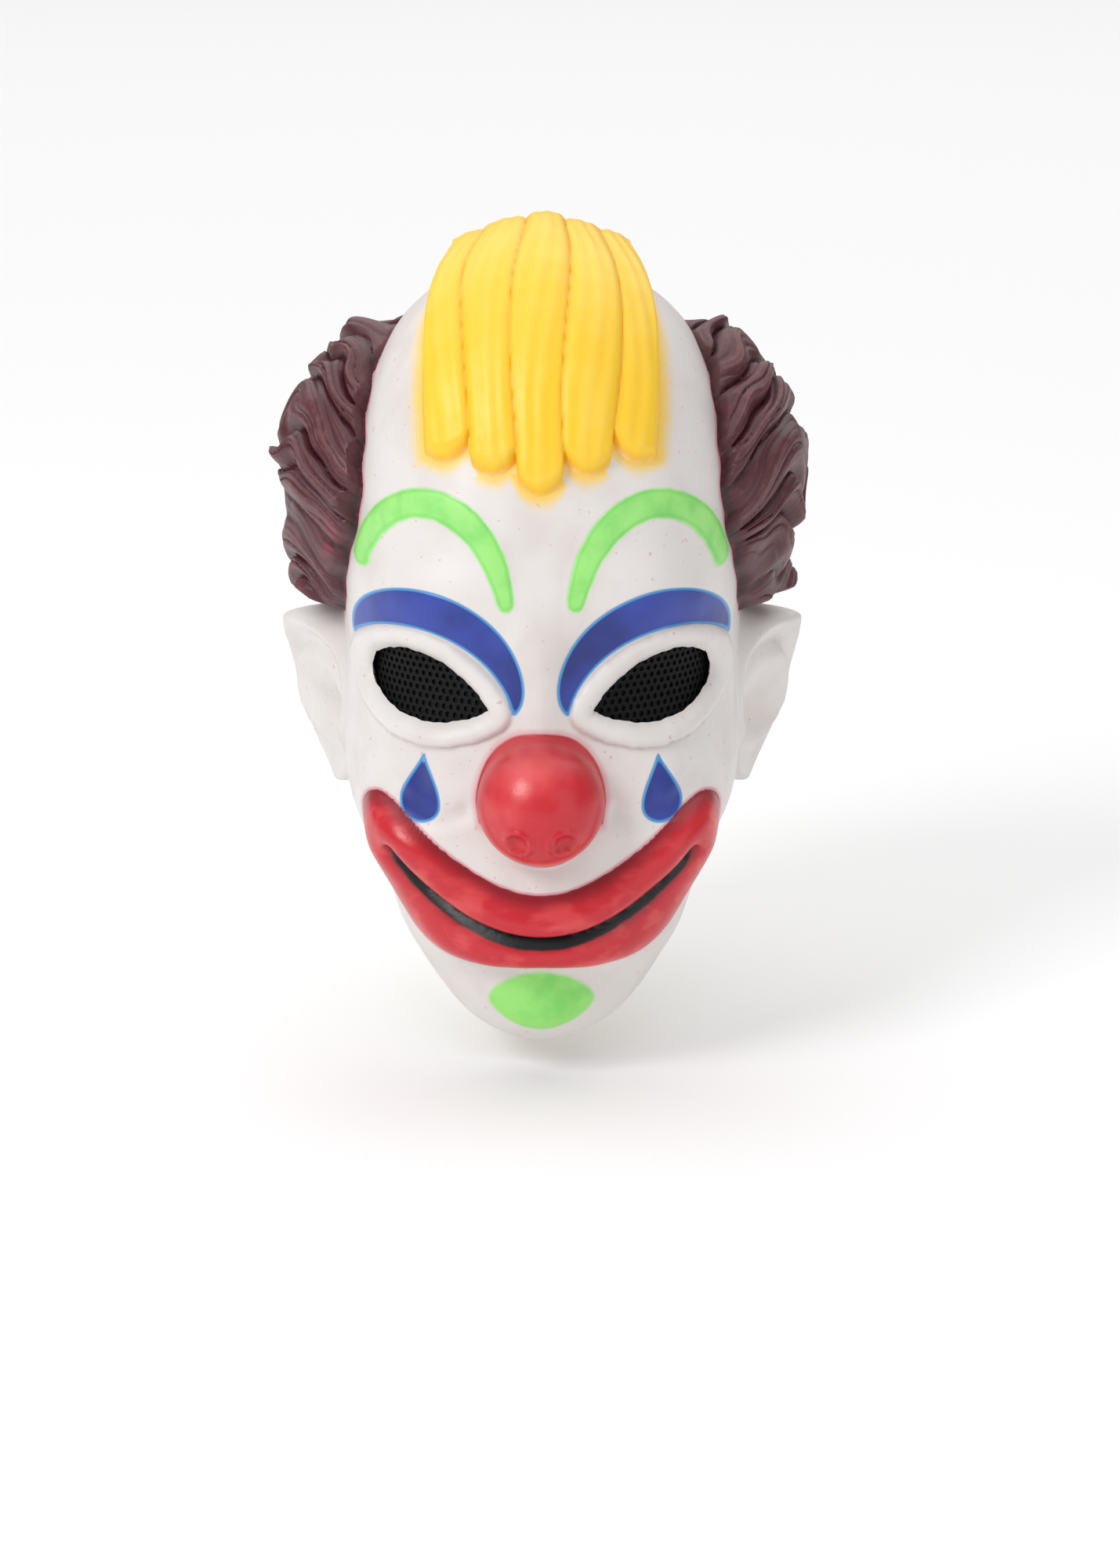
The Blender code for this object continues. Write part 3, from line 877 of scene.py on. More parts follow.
@dataclass(frozen=True)
class Tuft:
    """The tuft of five broad rounded locks that stands on the crown."""

    half_width: float = 0.043
    rise: float = 0.0165
    start_rise: float = 0.0050
    foot_angle: float = math.radians(37)
    locks: int = 5
    stagger: float = 0.0072
    rounding: float = 0.0045
    lock_rise: float = 0.0020
    middle_rise: float = 0.0022
    flute_rise: float = 0.00035
    sunk: float = 0.0020
    seat: float = 0.0016
    step: float = 0.0042
    tuck: float = 0.0005
    plan: tuple = (
        TuftRow(0.0, 0.95),
        TuftRow(0.4, 1.02),
        TuftRow(0.7, 0.98),
        TuftRow(1.0, 0.80),
    )

    def reach(self, angle: Grid) -> Grid:
        """Gives the share of the way from the tuft's foot to the top of the crown."""
        return np.clip((angle - self.foot_angle) / (math.pi / 2 - self.foot_angle), 0, 1)

    def carve(self, plain: Grid) -> tuple[Grid, Grid, Grid]:
        """Carves the locks.

        Args:
            plain: Points on the plain head form, one row each.

        Returns:
            How far each point lies inside the tuft, the locks' rise, and how near it is to a
            crest, 0 to 1.
        """
        x, y, z = plain.T
        angle = np.arctan2(z, -y)
        reach = self.reach(angle)
        wide = self.half_width * between_rows(self.plan, reach, "half_width", "along")
        past = (angle - self.foot_angle) * np.hypot(y, z)
        bent = x + 1.7 * MM * np.sin(5.0 * reach + x / 0.013) * eased(3 * reach)
        column = (bent / wide + 1) * self.locks / 2
        number = np.clip(np.floor(column), 0, self.locks - 1)
        across = 2 * (column - number) - 1
        off_middle = np.abs(number - (self.locks - 1) / 2)
        low = self.stagger * off_middle + self.rounding * np.minimum(across**2, 1.3)
        depth = np.minimum(wide - np.abs(x), past - low)
        crest = np.sqrt(np.clip(1 - np.abs(across) ** 2.6, 0, 1))
        size = 1 - 0.08 * off_middle + 0.20 * np.sin(4 * reach + 2 * number)
        flute = np.sin(math.pi * (1.5 * across + 0.6 * np.sin(3 * reach + number))) ** 2
        raised = self.lock_rise * crest * size + self.flute_rise * flute * crest
        raised += self.middle_rise * np.exp(-((x / (0.3 * self.half_width)) ** 2)) * reach
        return depth, raised, np.clip(0.85 * crest + 0.15 * flute, 0, 1)

    def body(self, plain: Grid) -> Grid:
        """Gives the tuft's main swelling.

        Args:
            plain: Points on the plain head form, one row each.

        Returns:
            The rise at each point, in metres.
        """
        x, y, z = plain.T
        reach = self.reach(np.arctan2(z, -y))
        wide = self.half_width * between_rows(self.plan, reach, "half_width", "along")
        tall = self.start_rise + (self.rise - self.start_rise) * reach**1.1
        return tall * (1 - 0.25 * np.clip(x / wide, -1, 1) ** 2)

    def under(self, plain: Grid) -> Grid:
        """Gives the rise of the wall under the tuft.

        Args:
            plain: Points on the plain head form, one row each.

        Returns:
            The rise at each point, in metres.
        """
        depth, raised, _ = self.carve(plain)
        low = self.body(plain) - self.sunk - self.seat + 0.75 * raised
        return np.maximum(low, 0) * eased((depth - 2.4 * MM) / (1.25 * self.step))


@dataclass(frozen=True)
class Casting:
    """The whole sculpted form, which the shell, the hair and the tuft all take their shape from."""

    form: HeadForm = HeadForm()
    nose: Nose = Nose()
    eye: EyeHole = EyeHole()
    lips: Lips = Lips()
    paint: FacePaint = FacePaint()
    ears: Ears = Ears()
    hair: SideHair = SideHair()
    tuft: Tuft = Tuft()
    halvings: int = 26
    narrowest: float = 0.5
    widest: float = 2.6
    aimings: int = 8
    band_width: float = 0.0070
    band_groove: float = 0.0009
    brow_rise: float = 0.0009
    chin_rise: float = 0.0006
    crease: tuple = ((0.0270, -0.0430), (0.036, -0.0480), (0.046, -0.0420), (0.054, -0.0340))
    crease_depth: float = 0.0026
    crease_width: float = 0.0040
    forms: tuple = (
        Form(0.50, 0.24, 0.36, 0.10, 0.0045),
        Form(0.54, 0.00, 0.36, 0.15, -0.0070),
        Form(0.00, 0.02, 0.13, 0.22, 0.0055),
        Form(0.60, -0.36, 0.28, 0.16, 0.0095),
        Form(0.00, -0.56, 0.42, 0.20, 0.0060),
        Form(0.92, -0.62, 0.20, 0.16, -0.0040),
        Form(0.00, -0.80, 0.40, 0.045, -0.0040),
        Form(0.00, -0.91, 0.26, 0.09, 0.0065),
        Form(0.92, 0.36, 0.22, 0.24, -0.0035),
    )

    def axes(self) -> tuple[Grid, Grid, Grid]:
        """Gives the fan's axis through the nose, and the two directions across it.

        Returns:
            The axis, the direction to the right and the one upwards.
        """
        centre = self.nose.centre(self.form)
        axis = centre / np.linalg.norm(centre)
        return axis, np.array([1.0, 0.0, 0.0]), np.array([0.0, axis[2], -axis[1]])

    def fan(self, polar: Grid, clock: Grid) -> Grid:
        """Gives the directions at an angle from the nose's axis and a clock angle round it.

        Args:
            polar: Angles from the nose's axis, in radians.
            clock: Clock angles round the nose's axis, in radians.

        Returns:
            The directions, one row each.
        """
        axis, side, up = self.axes()
        across = np.cos(clock)[:, None] * side + np.sin(clock)[:, None] * up
        return np.cos(polar)[:, None] * axis + np.sin(polar)[:, None] * across

    def edge_angles(self, clock: Grid) -> Grid:
        """Finds the angle from the nose's axis where the sheet meets its cut edge.

        Args:
            clock: Clock angles round the nose's axis, in radians.

        Returns:
            The angle on each line.
        """
        low, high = np.full(len(clock), self.narrowest), np.full(len(clock), self.widest)
        for _ in range(self.halvings):
            middle = (low + high) / 2
            ways = self.fan(middle, clock)
            plain = ways * self.form.radius(ways)[:, None]
            limit = self.form.edge_at(plain[:, 2]) + self.ears.edge(plain[:, 2])
            low = np.where(plain[:, 1] < limit, middle, low)
            high = np.where(plain[:, 1] < limit, high, middle)
        return (low + high) / 2

    def soft_forms(self, plain: Grid) -> Grid:
        """Gives the swellings and hollows of the face.

        Args:
            plain: Points on the plain head form, one row each.

        Returns:
            The rise at each point, in metres.
        """
        x, y, z = plain.T
        rise = np.zeros(len(x))
        for form in self.forms:
            across = (np.abs(x) / self.form.half_width - form.across) / form.half_width
            up = (z / self.form.chin_drop - form.up) / form.half_height
            rise += form.rise * np.exp(-(across**2) - up**2)
        gap, _ = gap_to(np.abs(x), z, bezier(self.crease, 40))
        rise -= self.crease_depth * np.exp(-((gap / self.crease_width) ** 2))
        return rise * eased(-y / (self.form.reach / 4))

    def soft(self, plain: Grid) -> Grid:
        """Gives the soft swellings, with the slight lumps that a hand-poured casting keeps."""
        lumps = 0.30 * MM * ripple(plain, 0.045, 1) + 0.12 * MM * ripple(plain, 0.015, 2)
        return self.soft_forms(plain) + lumps

    def front_at(self, x: Grid, z: Grid, inset: float = 0.0) -> Grid:
        """Gives the soft face's points in front of each (x, z).

        Args:
            x: The points' x.
            z: The points' z.
            inset: How far inside the face to put them.

        Returns:
            The points.
        """
        aim = np.stack([x, z], axis=1)
        ask = aim.copy()
        for _ in range(self.aimings):
            plain = self.form.on_front(*ask.T)
            point = plain * (1 + self.soft(plain) / np.linalg.norm(plain, axis=1))[:, None]
            ask += aim - point[:, ::2]
        if inset:
            beside, above = self.front_at(x + MM, z), self.front_at(x, z + MM)
            slope = np.hypot(beside[:, 1] - point[:, 1], above[:, 1] - point[:, 1]) / MM
            point = point + np.outer(inset * np.hypot(1, slope), (0, 1, 0))
        return point

    def rise(self, plain: Grid, base: Grid, edge_gap: Grid) -> Grid:
        """Gives the rise of all but the nose over the soft face.

        Args:
            plain: Points on the plain head form, one row each.
            base: The same points on the soft face.
            edge_gap: How far each lies from the cut edge.

        Returns:
            The rise at each point, in metres.
        """
        x, y, z = base.T
        front = y < 0
        total = self.eye.rim(self.eye.gap(x, z)) * front + self.lips.swell(x, z) * front
        total += self.brow_rise * eased(self.paint.brows(x, z) / (2 * MM) + 0.5) * front
        total += self.chin_rise * eased(self.paint.chin(x, z) / (2.5 * MM) + 0.5) * front
        total += self.ears.swell(plain, self.form)
        total += self.hair.under(plain, self.form) + self.tuft.under(plain)
        groove = np.exp(-(((edge_gap - self.band_width) / (1.1 * MM)) ** 2))
        return total - self.band_groove * groove * (z < 0)

    def place(self, ways: Grid, edge_gap: Grid) -> tuple[Grid, Grid]:
        """Gives the shell's outer points along each direction, and their depth in the nose.

        Args:
            ways: Directions from the origin, one row each.
            edge_gap: How far each lies from the cut edge.

        Returns:
            The outer points, and how far inside the ball's edge each lies.
        """
        plain_radius = self.form.radius(ways)
        plain = ways * plain_radius[:, None]
        radius = plain_radius + self.soft(plain)
        radius = radius + self.rise(plain, ways * radius[:, None], edge_gap)
        radius, on_nose = self.nose.cover(ways, radius, self.form)
        return ways * radius[:, None], on_nose

    def clock_of(self, ways: Grid) -> tuple[Grid, Grid]:
        """Gives each direction's angle from the nose's axis, and its clock angle."""
        axis, side, up = self.axes()
        return np.arccos(np.clip(ways @ axis, -1, 1)), np.arctan2(ways @ up, ways @ side)


def active_mesh(name: str) -> bpy.types.Object:
    """Names the new primitive and its mesh, and gives the object.

    Args:
        name: The name to give.

    Returns:
        The object.
    """
    obj = bpy.context.view_layer.objects.active
    obj.name = obj.data.name = name
    return obj


def only(obj: bpy.types.Object) -> None:
    """Selects one object and makes it active.

    Args:
        obj: The piece.
    """
    bpy.ops.object.select_all(action="DESELECT")
    obj.select_set(True)
    bpy.context.view_layer.objects.active = obj


def add_grid(name: str, rows: int, columns: int) -> tuple[bpy.types.Object, Grid, Grid]:
    """Adds a grid primitive.

    Args:
        name: The name to give.
        rows: How many rows of faces.
        columns: How many columns of faces.

    Returns:
        The object, and the row and the column of each of its vertices.
    """
    bpy.ops.object.select_all(action="DESELECT")
    bpy.ops.mesh.primitive_grid_add(x_subdivisions=columns, y_subdivisions=rows, size=1)
    obj = active_mesh(name)
    flat = corners_of(obj)
    row = np.rint((flat[:, 1] + 0.5) * rows).astype(int)
    column = np.rint((flat[:, 0] + 0.5) * columns).astype(int)
    return obj, row, column


def corners_of(obj: bpy.types.Object) -> Grid:
    """Reads the places of an object's vertices.

    Args:
        obj: The piece.

    Returns:
        The places, one row each.
    """
    flat = np.empty(len(obj.data.vertices) * 3)
    obj.data.vertices.foreach_get("co", flat)
    return flat.reshape(-1, 3)


def shape(obj: bpy.types.Object, points: Grid) -> None:
    """Moves an object's vertices to new places."""
    obj.data.vertices.foreach_set("co", points.ravel())
    obj.data.update()


def weld(obj: bpy.types.Object, gap: float = 0.01 * MM) -> None:
    """Merges vertices that meet, and turns all faces the same way.

    Args:
        obj: The piece.
        gap: How near vertices lie to be merged.
    """
    only(obj)
    bpy.ops.object.mode_set(mode="EDIT")
    bpy.ops.mesh.select_all(action="SELECT")
    bpy.ops.mesh.remove_doubles(threshold=gap)
    bpy.ops.mesh.normals_make_consistent(inside=False)
    bpy.ops.object.mode_set(mode="OBJECT")


def face_away(obj: bpy.types.Object, centre: tuple = (0.0, 0.0, 0.0)) -> None:
    """Turns a sheet's faces away from a point, if they look towards it.

    Args:
        obj: The piece.
        centre: The point to face away from.
    """
    mesh = obj.data
    normals = np.empty(len(mesh.polygons) * 3)
    middles = np.empty(len(mesh.polygons) * 3)
    mesh.polygons.foreach_get("normal", normals)
    mesh.polygons.foreach_get("center", middles)
    outward = (normals.reshape(-1, 3) * (middles.reshape(-1, 3) - centre)).sum()
    if outward < 0:
        only(obj)
        bpy.ops.object.mode_set(mode="EDIT")
        bpy.ops.mesh.select_all(action="SELECT")
        bpy.ops.mesh.flip_normals()
        bpy.ops.object.mode_set(mode="OBJECT")


def thicken(obj: bpy.types.Object, wall: float, offset: float) -> None:
    """Gives a sheet its wall and applies it.

    Args:
        obj: The piece.
        wall: The wall's thickness.
        offset: Where it grows: -1 to the inner side, 1 to the outer.
    """
    only(obj)
    bpy.ops.object.modifier_add(type="SOLIDIFY")
    modifier = obj.modifiers[-1]
    modifier.thickness = wall
    modifier.offset = offset
    bpy.ops.object.modifier_apply(modifier=modifier.name)


def smooth(obj: bpy.types.Object, degrees: float = 60) -> None:
    """Shades a piece smoothly, but for its sharp edges."""
    only(obj)
    bpy.ops.object.shade_smooth_by_angle(angle=math.radians(degrees))


def keep_numbers(obj: bpy.types.Object, **numbers: Grid) -> None:
    """Keeps a number on each vertex for the material to read.

    Args:
        obj: The piece.
        numbers: The values on its vertices, by name.
    """
    for name, values in numbers.items():
        attribute = obj.data.attributes.new(name, "FLOAT", "POINT")
        attribute.data.foreach_set("value", values.astype(np.float32))


class Signal:
    """A number or colour that flows between a material's nodes."""

    def __init__(self, board: "Board", socket: bpy.types.NodeSocket) -> None:
        """Wraps an output socket."""
        self.board = board
        self.socket = socket

    def _math(self, operation: str, *values: object) -> "Signal":
        """Adds a Math node on these values."""
        places = dict(enumerate(values))
        return self.board.node("ShaderNodeMath", {"operation": operation}, places)

    def __add__(self, other: object) -> "Signal":
        """Adds."""
        return self._math("ADD", self, other)

    __radd__ = __add__

    def __mul__(self, other: object) -> "Signal":
        """Multiplies."""
        return self._math("MULTIPLY", self, other)

    __rmul__ = __mul__

    def __sub__(self, other: object) -> "Signal":
        """Subtracts."""
        return self._math("SUBTRACT", self, other)

    def __rsub__(self, other: object) -> "Signal":
        """Subtracts this from another."""
        return self._math("SUBTRACT", other, self)

    def __abs__(self) -> "Signal":
        """Drops the sign."""
        return self._math("ABSOLUTE", self)

    def top(self, other: object) -> "Signal":
        """Gives the larger of two."""
        return self._math("MAXIMUM", self, other)

    def wave(self) -> "Signal":
        """Gives the sine."""
        return self._math("SINE", self)

    def ease(self, low: float, high: float) -> "Signal":
        """Runs from 0 at low to 1 at high on an S-curve.

        Args:
            low: Where it starts.
            high: Where it ends.

        Returns:
            The eased value.
        """
        settings = {"interpolation_type": "SMOOTHSTEP"}
        values = {"Value": self, "From Min": low, "From Max": high}
        return self.board.node("ShaderNodeMapRange", settings, values)


class Board:
    """A material's node tree, with one Principled shader."""

    def __init__(self, name: str) -> None:
        """Makes the material.

        Args:
            name: The material's name.
        """
        self.material = bpy.data.materials.new(name)
        self.material.use_nodes = True
        self.tree = self.material.node_tree
        self.shader = self.tree.nodes["Principled BSDF"]

    def node(self, kind: str, settings: dict, values: dict, output: object = 0) -> Signal:
        """Adds a node.

        Args:
            kind: The node's type.
            settings: Its own settings, set first.
            values: What each input socket gets, by name or number: a Signal or a plain value.
            output: The output socket's name or number.

        Returns:
            The output as a Signal.
        """
        made = self.tree.nodes.new(kind)
        for key, value in settings.items():
            setattr(made, key, value)
        for key, value in values.items():
            self.feed(made.inputs[key], value)
        return Signal(self, made.outputs[output])

    def feed(self, socket: bpy.types.NodeSocket, value: object) -> None:
        """Links a Signal to a socket, or sets a plain value on it.

        Args:
            socket: The input.
            value: A Signal or a plain value.
        """
        if isinstance(value, Signal):
            self.tree.links.new(value.socket, socket)
        else:
            socket.default_value = value

    def number(self, name: str) -> Signal:
        """Reads a number kept on the mesh."""
        return self.node("ShaderNodeAttribute", {"attribute_name": name}, {}, "Fac")

    def place(self) -> Signal:
        """Reads the place on the object."""
        return self.node("ShaderNodeTexCoord", {}, {}, "Object")

    def noise(self, size: float, detail: float = 3.0, stretch: tuple = (1, 1, 1)) -> Signal:
        """Makes clouds of a rough size in metres, stretched along the axes.

        Args:
            size: Their rough size.
            detail: How many finer layers they have.
            stretch: The scale along each axis.

        Returns:
            The clouds, 0 to 1.
        """
        scaled = self.node("ShaderNodeMapping", {}, {"Vector": self.place(), "Scale": stretch})
        values = {"Vector": scaled, "Scale": 1 / size, "Detail": detail}
        return self.node("ShaderNodeTexNoise", {}, values, "Fac")

    def mix(self, share: object, under: object, over: object) -> Signal:
        """Lays one colour over another."""
        values = {0: share, 6: under, 7: over}
        return self.node("ShaderNodeMix", {"data_type": "RGBA"}, values, 2)

    def finish(self, colour: object, roughness: object, height: Signal | None = None) -> None:
        """Feeds the shader its colour, roughness and relief, which is in metres.

        Args:
            colour: The base colour.
            roughness: The roughness.
            height: The relief, if there is one.
        """
        self.feed(self.shader.inputs["Base Color"], colour)
        self.feed(self.shader.inputs["Roughness"], roughness)
        if height is not None:
            values = {"Strength": 1.0, "Distance": 1.0, "Height": height}
            self.feed(self.shader.inputs["Normal"], self.node("ShaderNodeBump", {}, values))


def tint(red: int, green: int, blue: int) -> tuple:
    """Turns a colour as seen, 0 to 255, into the linear one that a shader takes."""
    seen = [channel / 255 for channel in (red, green, blue)]
    return (*(c / 12.92 if c <= 0.04045 else ((c + 0.055) / 1.055) ** 2.4 for c in seen), 1.0)


@dataclass(frozen=True)
class PaintedLatex:
    """Satin white latex with airbrushed shapes, and bare latex inside."""

    white: tuple = tint(227, 222, 219)
    shade: tuple = tint(208, 197, 194)
    crease_shade: tuple = tint(196, 180, 176)
    bare: tuple = tint(226, 214, 188)
    aged: tuple = tint(206, 190, 158)
    green: tuple = tint(150, 232, 112)
    deep_green: tuple = tint(84, 204, 70)
    blue: tuple = tint(44, 66, 164)
    deep_blue: tuple = tint(28, 44, 124)
    edge_blue: tuple = tint(60, 148, 214)
    red: tuple = tint(200, 34, 46)
    deep_red: tuple = tint(138, 18, 32)
    pale_red: tuple = tint(224, 82, 84)
    black: tuple = tint(18, 16, 18)
    pink: tuple = tint(216, 62, 104)
    yellow: tuple = tint(250, 206, 66)

    def skin(self, board: Board, cloud: Signal, wobble: Signal) -> Signal:
        """Sprays the white skin, a painted shade in the creases at the outer foot of the eye rims,
        and mist round the colours.

        Args:
            board: The material's node tree.
            cloud: Broad clouds, 0 to 1.
            wobble: A fine unevenness, in millimetres.

        Returns:
            The colour.
        """
        skin = board.mix(cloud.ease(0.42, 0.75) * 0.55, self.white, self.shade)
        speck = board.noise(0.0022, 1.0).ease(0.735, 0.76)
        skin = board.mix(speck * 0.35, skin, self.pink)
        # Painted shade: darkens the crease at the outer foot of each eye rim.
        crease = (1 - abs(board.number("rim") - 8.6).ease(0.0, 1.6)) * 0.45
        skin = board.mix(crease, skin, self.crease_shade)
        lips = board.number("lips")
        mist = (lips + wobble * 2).ease(-2.8, 0.0) * 0.12
        mist = mist.top((lips + wobble * 0.5).ease(-1.3, -0.8) * 0.50)
        mist = mist.top((board.number("nose") + wobble).ease(-4.2, -1.2) * 0.42)
        mist = mist.top((board.number("hair") + wobble * 3).ease(-4.0, 1.5) * 0.70)
        colour = board.mix(mist, skin, self.pink)
        spray = (board.number("tuft") + wobble * 2).ease(-5.5, 1.0)
        return board.mix(spray * 0.92, colour, self.yellow)

    def greens(self, board: Board, under: Signal, wobble: Signal) -> Signal:
        """Paints the brows, with a darker stroke inside their edge, and the chin.

        Args:
            board: The material's node tree.
            under: The colour below.
            wobble: A fine unevenness, in millimetres.

        Returns:
            The colour.
        """
        brow = board.number("brow") + wobble
        chin = board.number("chin") + wobble
        patch = board.noise(0.011).ease(0.40, 0.74)
        leaf = board.mix(patch * 0.5, self.green, self.deep_green)
        stroke = (1 - abs(brow - 0.8).ease(0.0, 1.1)) * 0.30
        colour = board.mix(brow.ease(-0.9, 0.5) * 0.92, under, leaf)
        colour = board.mix(stroke, colour, self.deep_green)
        return board.mix(chin.ease(-0.9, 1.0) * 0.96, colour, leaf)

    def blues(self, board: Board, under: Signal, cloud: Signal) -> Signal:
        """Paints the lids and the drops, with a paler outline.

        Args:
            board: The material's node tree.
            under: The colour below.
            cloud: Broad clouds, 0 to 1.

        Returns:
            The colour.
        """
        blue = board.number("blue")
        sky = board.mix(cloud.ease(0.35, 0.65), self.blue, self.deep_blue)
        outline = blue.ease(-0.9, -0.35) * (1 - blue.ease(0.0, 0.7))
        colour = board.mix(blue.ease(-0.2, 0.3), under, sky)
        return board.mix(outline * 0.95, colour, self.edge_blue)

    def reds(self, board: Board, under: Signal, cloud: Signal, wobble: Signal) -> Signal:
        """Paints the lips, paler on their crowns and darker at their edges, partly as painted
        highlight and shade, and the nose.

        Args:
            board: The material's node tree.
            under: The colour below.
            cloud: Broad clouds, 0 to 1.
            wobble: A fine unevenness, in millimetres.

        Returns:
            The colour.
        """
        # Deep red at the parting and the outline, red and pale streaks along each lip's crown:
        # partly the lips' own paint, partly painted shade and painted highlight.
        crown = (1 - abs(board.number("across") - 0.5) * 2).ease(0.0, 0.55)
        lip_red_and_painted_light = board.mix(crown, self.deep_red, self.red)
        streak = board.noise(0.0075, 3.0, (0.45, 1, 1)).ease(0.46, 0.68)
        lip_red_and_painted_light = board.mix(streak * crown * 0.62, lip_red_and_painted_light, self.pale_red)
        lips, nose = board.number("lips"), board.number("nose")
        colour = board.mix((lips + wobble * 0.3).ease(-0.5, 0.0), under, lip_red_and_painted_light)
        ball = board.mix(cloud.ease(0.36, 0.66), self.red, self.pale_red)
        # Painted shade: the ball darkens to deep red towards its edge, where it turns away and
        # meets the face.
        ball = board.mix((6 - nose).ease(0.0, 9.0) * 0.4, ball, self.deep_red)
        return board.mix((nose + wobble * 0.5).ease(-1.7, -0.8), colour, ball)

    def relief(self, board: Board, fleck: Signal) -> Signal:
        """Raises the casting's grain and sinks a groove round the painted shapes.

        Args:
            board: The material's node tree.
            fleck: Fine flecks, 0 to 1.

        Returns:
            The height, in metres.
        """
        groove = 1 - abs(board.number("blue") + 0.25).ease(0.0, 0.9)
        groove = groove.top((1 - abs(board.number("brow")).ease(0.0, 1.0)) * 0.4)
        grain = board.noise(0.0011, 2.0)
        return grain * (0.05 * MM) + fleck * (0.10 * MM) - groove * (0.30 * MM)

    def make(self) -> bpy.types.Material:
        """Builds the material, layer by layer.

        Returns:
            The material.
        """
        board = Board("painted_latex")
        cloud, fleck = board.noise(0.030), board.noise(0.006)
        wobble = (fleck - 0.5) * 1.1
        colour = self.skin(board, cloud, wobble)
        colour = self.greens(board, colour, wobble)
        colour = self.blues(board, colour, cloud)
        colour = self.reds(board, colour, cloud, wobble)
        dark = (board.number("parting") + wobble * 0.5).ease(-0.3, 0.4)
        colour = board.mix(dark, colour, self.black)
        inner = board.number("under").ease(0.45, 0.75)
        raw = board.mix(cloud.ease(0.4, 0.7) * 0.5, self.bare, self.aged)
        colour = board.mix(inner, colour, raw)
        gloss = board.number("lips").ease(-0.4, 0.4).top(board.number("nose").ease(-0.8, 0.6))
        rough = 0.44 + (cloud - 0.5) * 0.16 - gloss * 0.13 + dark * 0.06 + inner * 0.2
        board.finish(colour, rough, self.relief(board, fleck))
        return board.material


@dataclass(frozen=True)
class PaintedHair:
    """Dark brown-red painted locks, redder in their grooves and dry-brushed on their crests, partly
    as painted shade and highlight.
    """

    groove: tuple = tint(42, 9, 15)
    body: tuple = tint(80, 33, 40)
    crest: tuple = tint(116, 68, 72)
    edge: tuple = tint(150, 34, 62)

    def make(self) -> bpy.types.Material:
        """Builds the material.

        Returns:
            The material.
        """
        board = Board("painted_hair")
        near = board.number("crest")
        depth = board.number("hair")
        cloud = board.noise(0.018)
        streak = board.noise(0.0030, 3.0)
        # Darker and redder in the grooves, paler on the crests: partly the dry-brushed paint,
        # partly painted shade and painted highlight.
        patch = near + (streak - 0.5) * 0.55 + (cloud - 0.5) * 0.25
        colour = board.mix(patch.ease(0.18, 0.58), self.groove, self.body)
        colour = board.mix(patch.ease(0.72, 1.12) * 0.85, colour, self.crest)
        rim = 1 - (depth + (streak - 0.5) * 4).ease(-0.8, 1.4)
        colour = board.mix(rim * 0.6, colour, self.edge)
        blush = cloud.ease(0.60, 0.72) * (1 - depth.ease(4.0, 22.0)) * 0.5
        colour = board.mix(blush * patch.ease(0.3, 0.9), colour, self.edge)
        rough = 0.42 + (streak - 0.5) * 0.2
        relief = streak * (0.16 * MM) + board.noise(0.0009, 2.0) * (0.05 * MM)
        board.finish(colour, rough, relief)
        return board.material


@dataclass(frozen=True)
class PaintedTuft:
    """Yellow airbrushed locks, warmer in their grooves and paler on their crests, partly as painted
    shade and highlight.
    """

    yellow: tuple = tint(251, 203, 44)
    deep: tuple = tint(243, 184, 34)
    pale: tuple = tint(252, 216, 92)
    white: tuple = tint(246, 238, 220)

    def make(self) -> bpy.types.Material:
        """Builds the material.

        Returns:
            The material.
        """
        board = Board("painted_tuft")
        near = board.number("crest")
        depth = board.number("tuft")
        cloud = board.noise(0.022)
        fleck = board.noise(0.004)
        # Warmer, darker yellow in the grooves and paler on the crests: partly the airbrushed paint,
        # partly painted shade and painted highlight.
        colour = board.mix((near + (fleck - 0.5) * 0.3).ease(0.15, 0.7), self.deep, self.yellow)
        light = (near + (cloud - 0.5) * 1.2).ease(0.75, 1.25)
        colour = board.mix(light * 0.55, colour, self.pale)
        faded = 1 - (depth + (fleck - 0.5) * 2).ease(-0.3, 2.0)
        colour = board.mix(faded * 0.45, colour, self.white)
        relief = fleck * (0.10 * MM) + board.noise(0.0010, 2.0) * (0.05 * MM)
        board.finish(colour, 0.44 + (fleck - 0.5) * 0.15, relief)
        return board.material


@dataclass(frozen=True)
class BlackKnit:
    """Black knitted polyester."""

    name: str
    colour: tuple = tint(11, 11, 12)
    dull: tuple = tint(25, 24, 25)
    thread: float = 0.0006

    def make(self) -> bpy.types.Material:
        """Builds the material.

        Returns:
            The material.
        """
        board = Board(self.name)
        thread = board.noise(self.thread, 2.0)
        colour = board.mix(thread.ease(0.4, 0.7), self.colour, self.dull)
        board.finish(colour, 0.72 + thread * 0.1, thread * (0.12 * MM))
        board.shader.inputs["Specular IOR Level"].default_value = 0.25
        return board.material


@dataclass(frozen=True)
class WovenElastic:
    """Black elastic, ribbed along its length, with a weft across it."""

    colour: tuple = tint(24, 24, 26)
    dull: tuple = tint(54, 54, 56)
    rib: float = 0.0015
    weft: float = 0.0009

    def make(self) -> bpy.types.Material:
        """Builds the material.

        Returns:
            The material.
        """
        board = Board("woven_elastic")
        across = board.number("across") * (math.tau / (self.rib / MM))
        along = board.number("along") * (math.tau / (self.weft / MM))
        ribs = across.wave() * 0.5 + 0.5
        weave = (along + ribs * math.pi).wave() * 0.5 + 0.5
        cover = ribs * 0.6 + weave * 0.4
        colour = board.mix(cover, self.colour, self.dull)
        board.finish(colour, 0.75 - weave * 0.1, cover * (0.20 * MM))
        return board.material


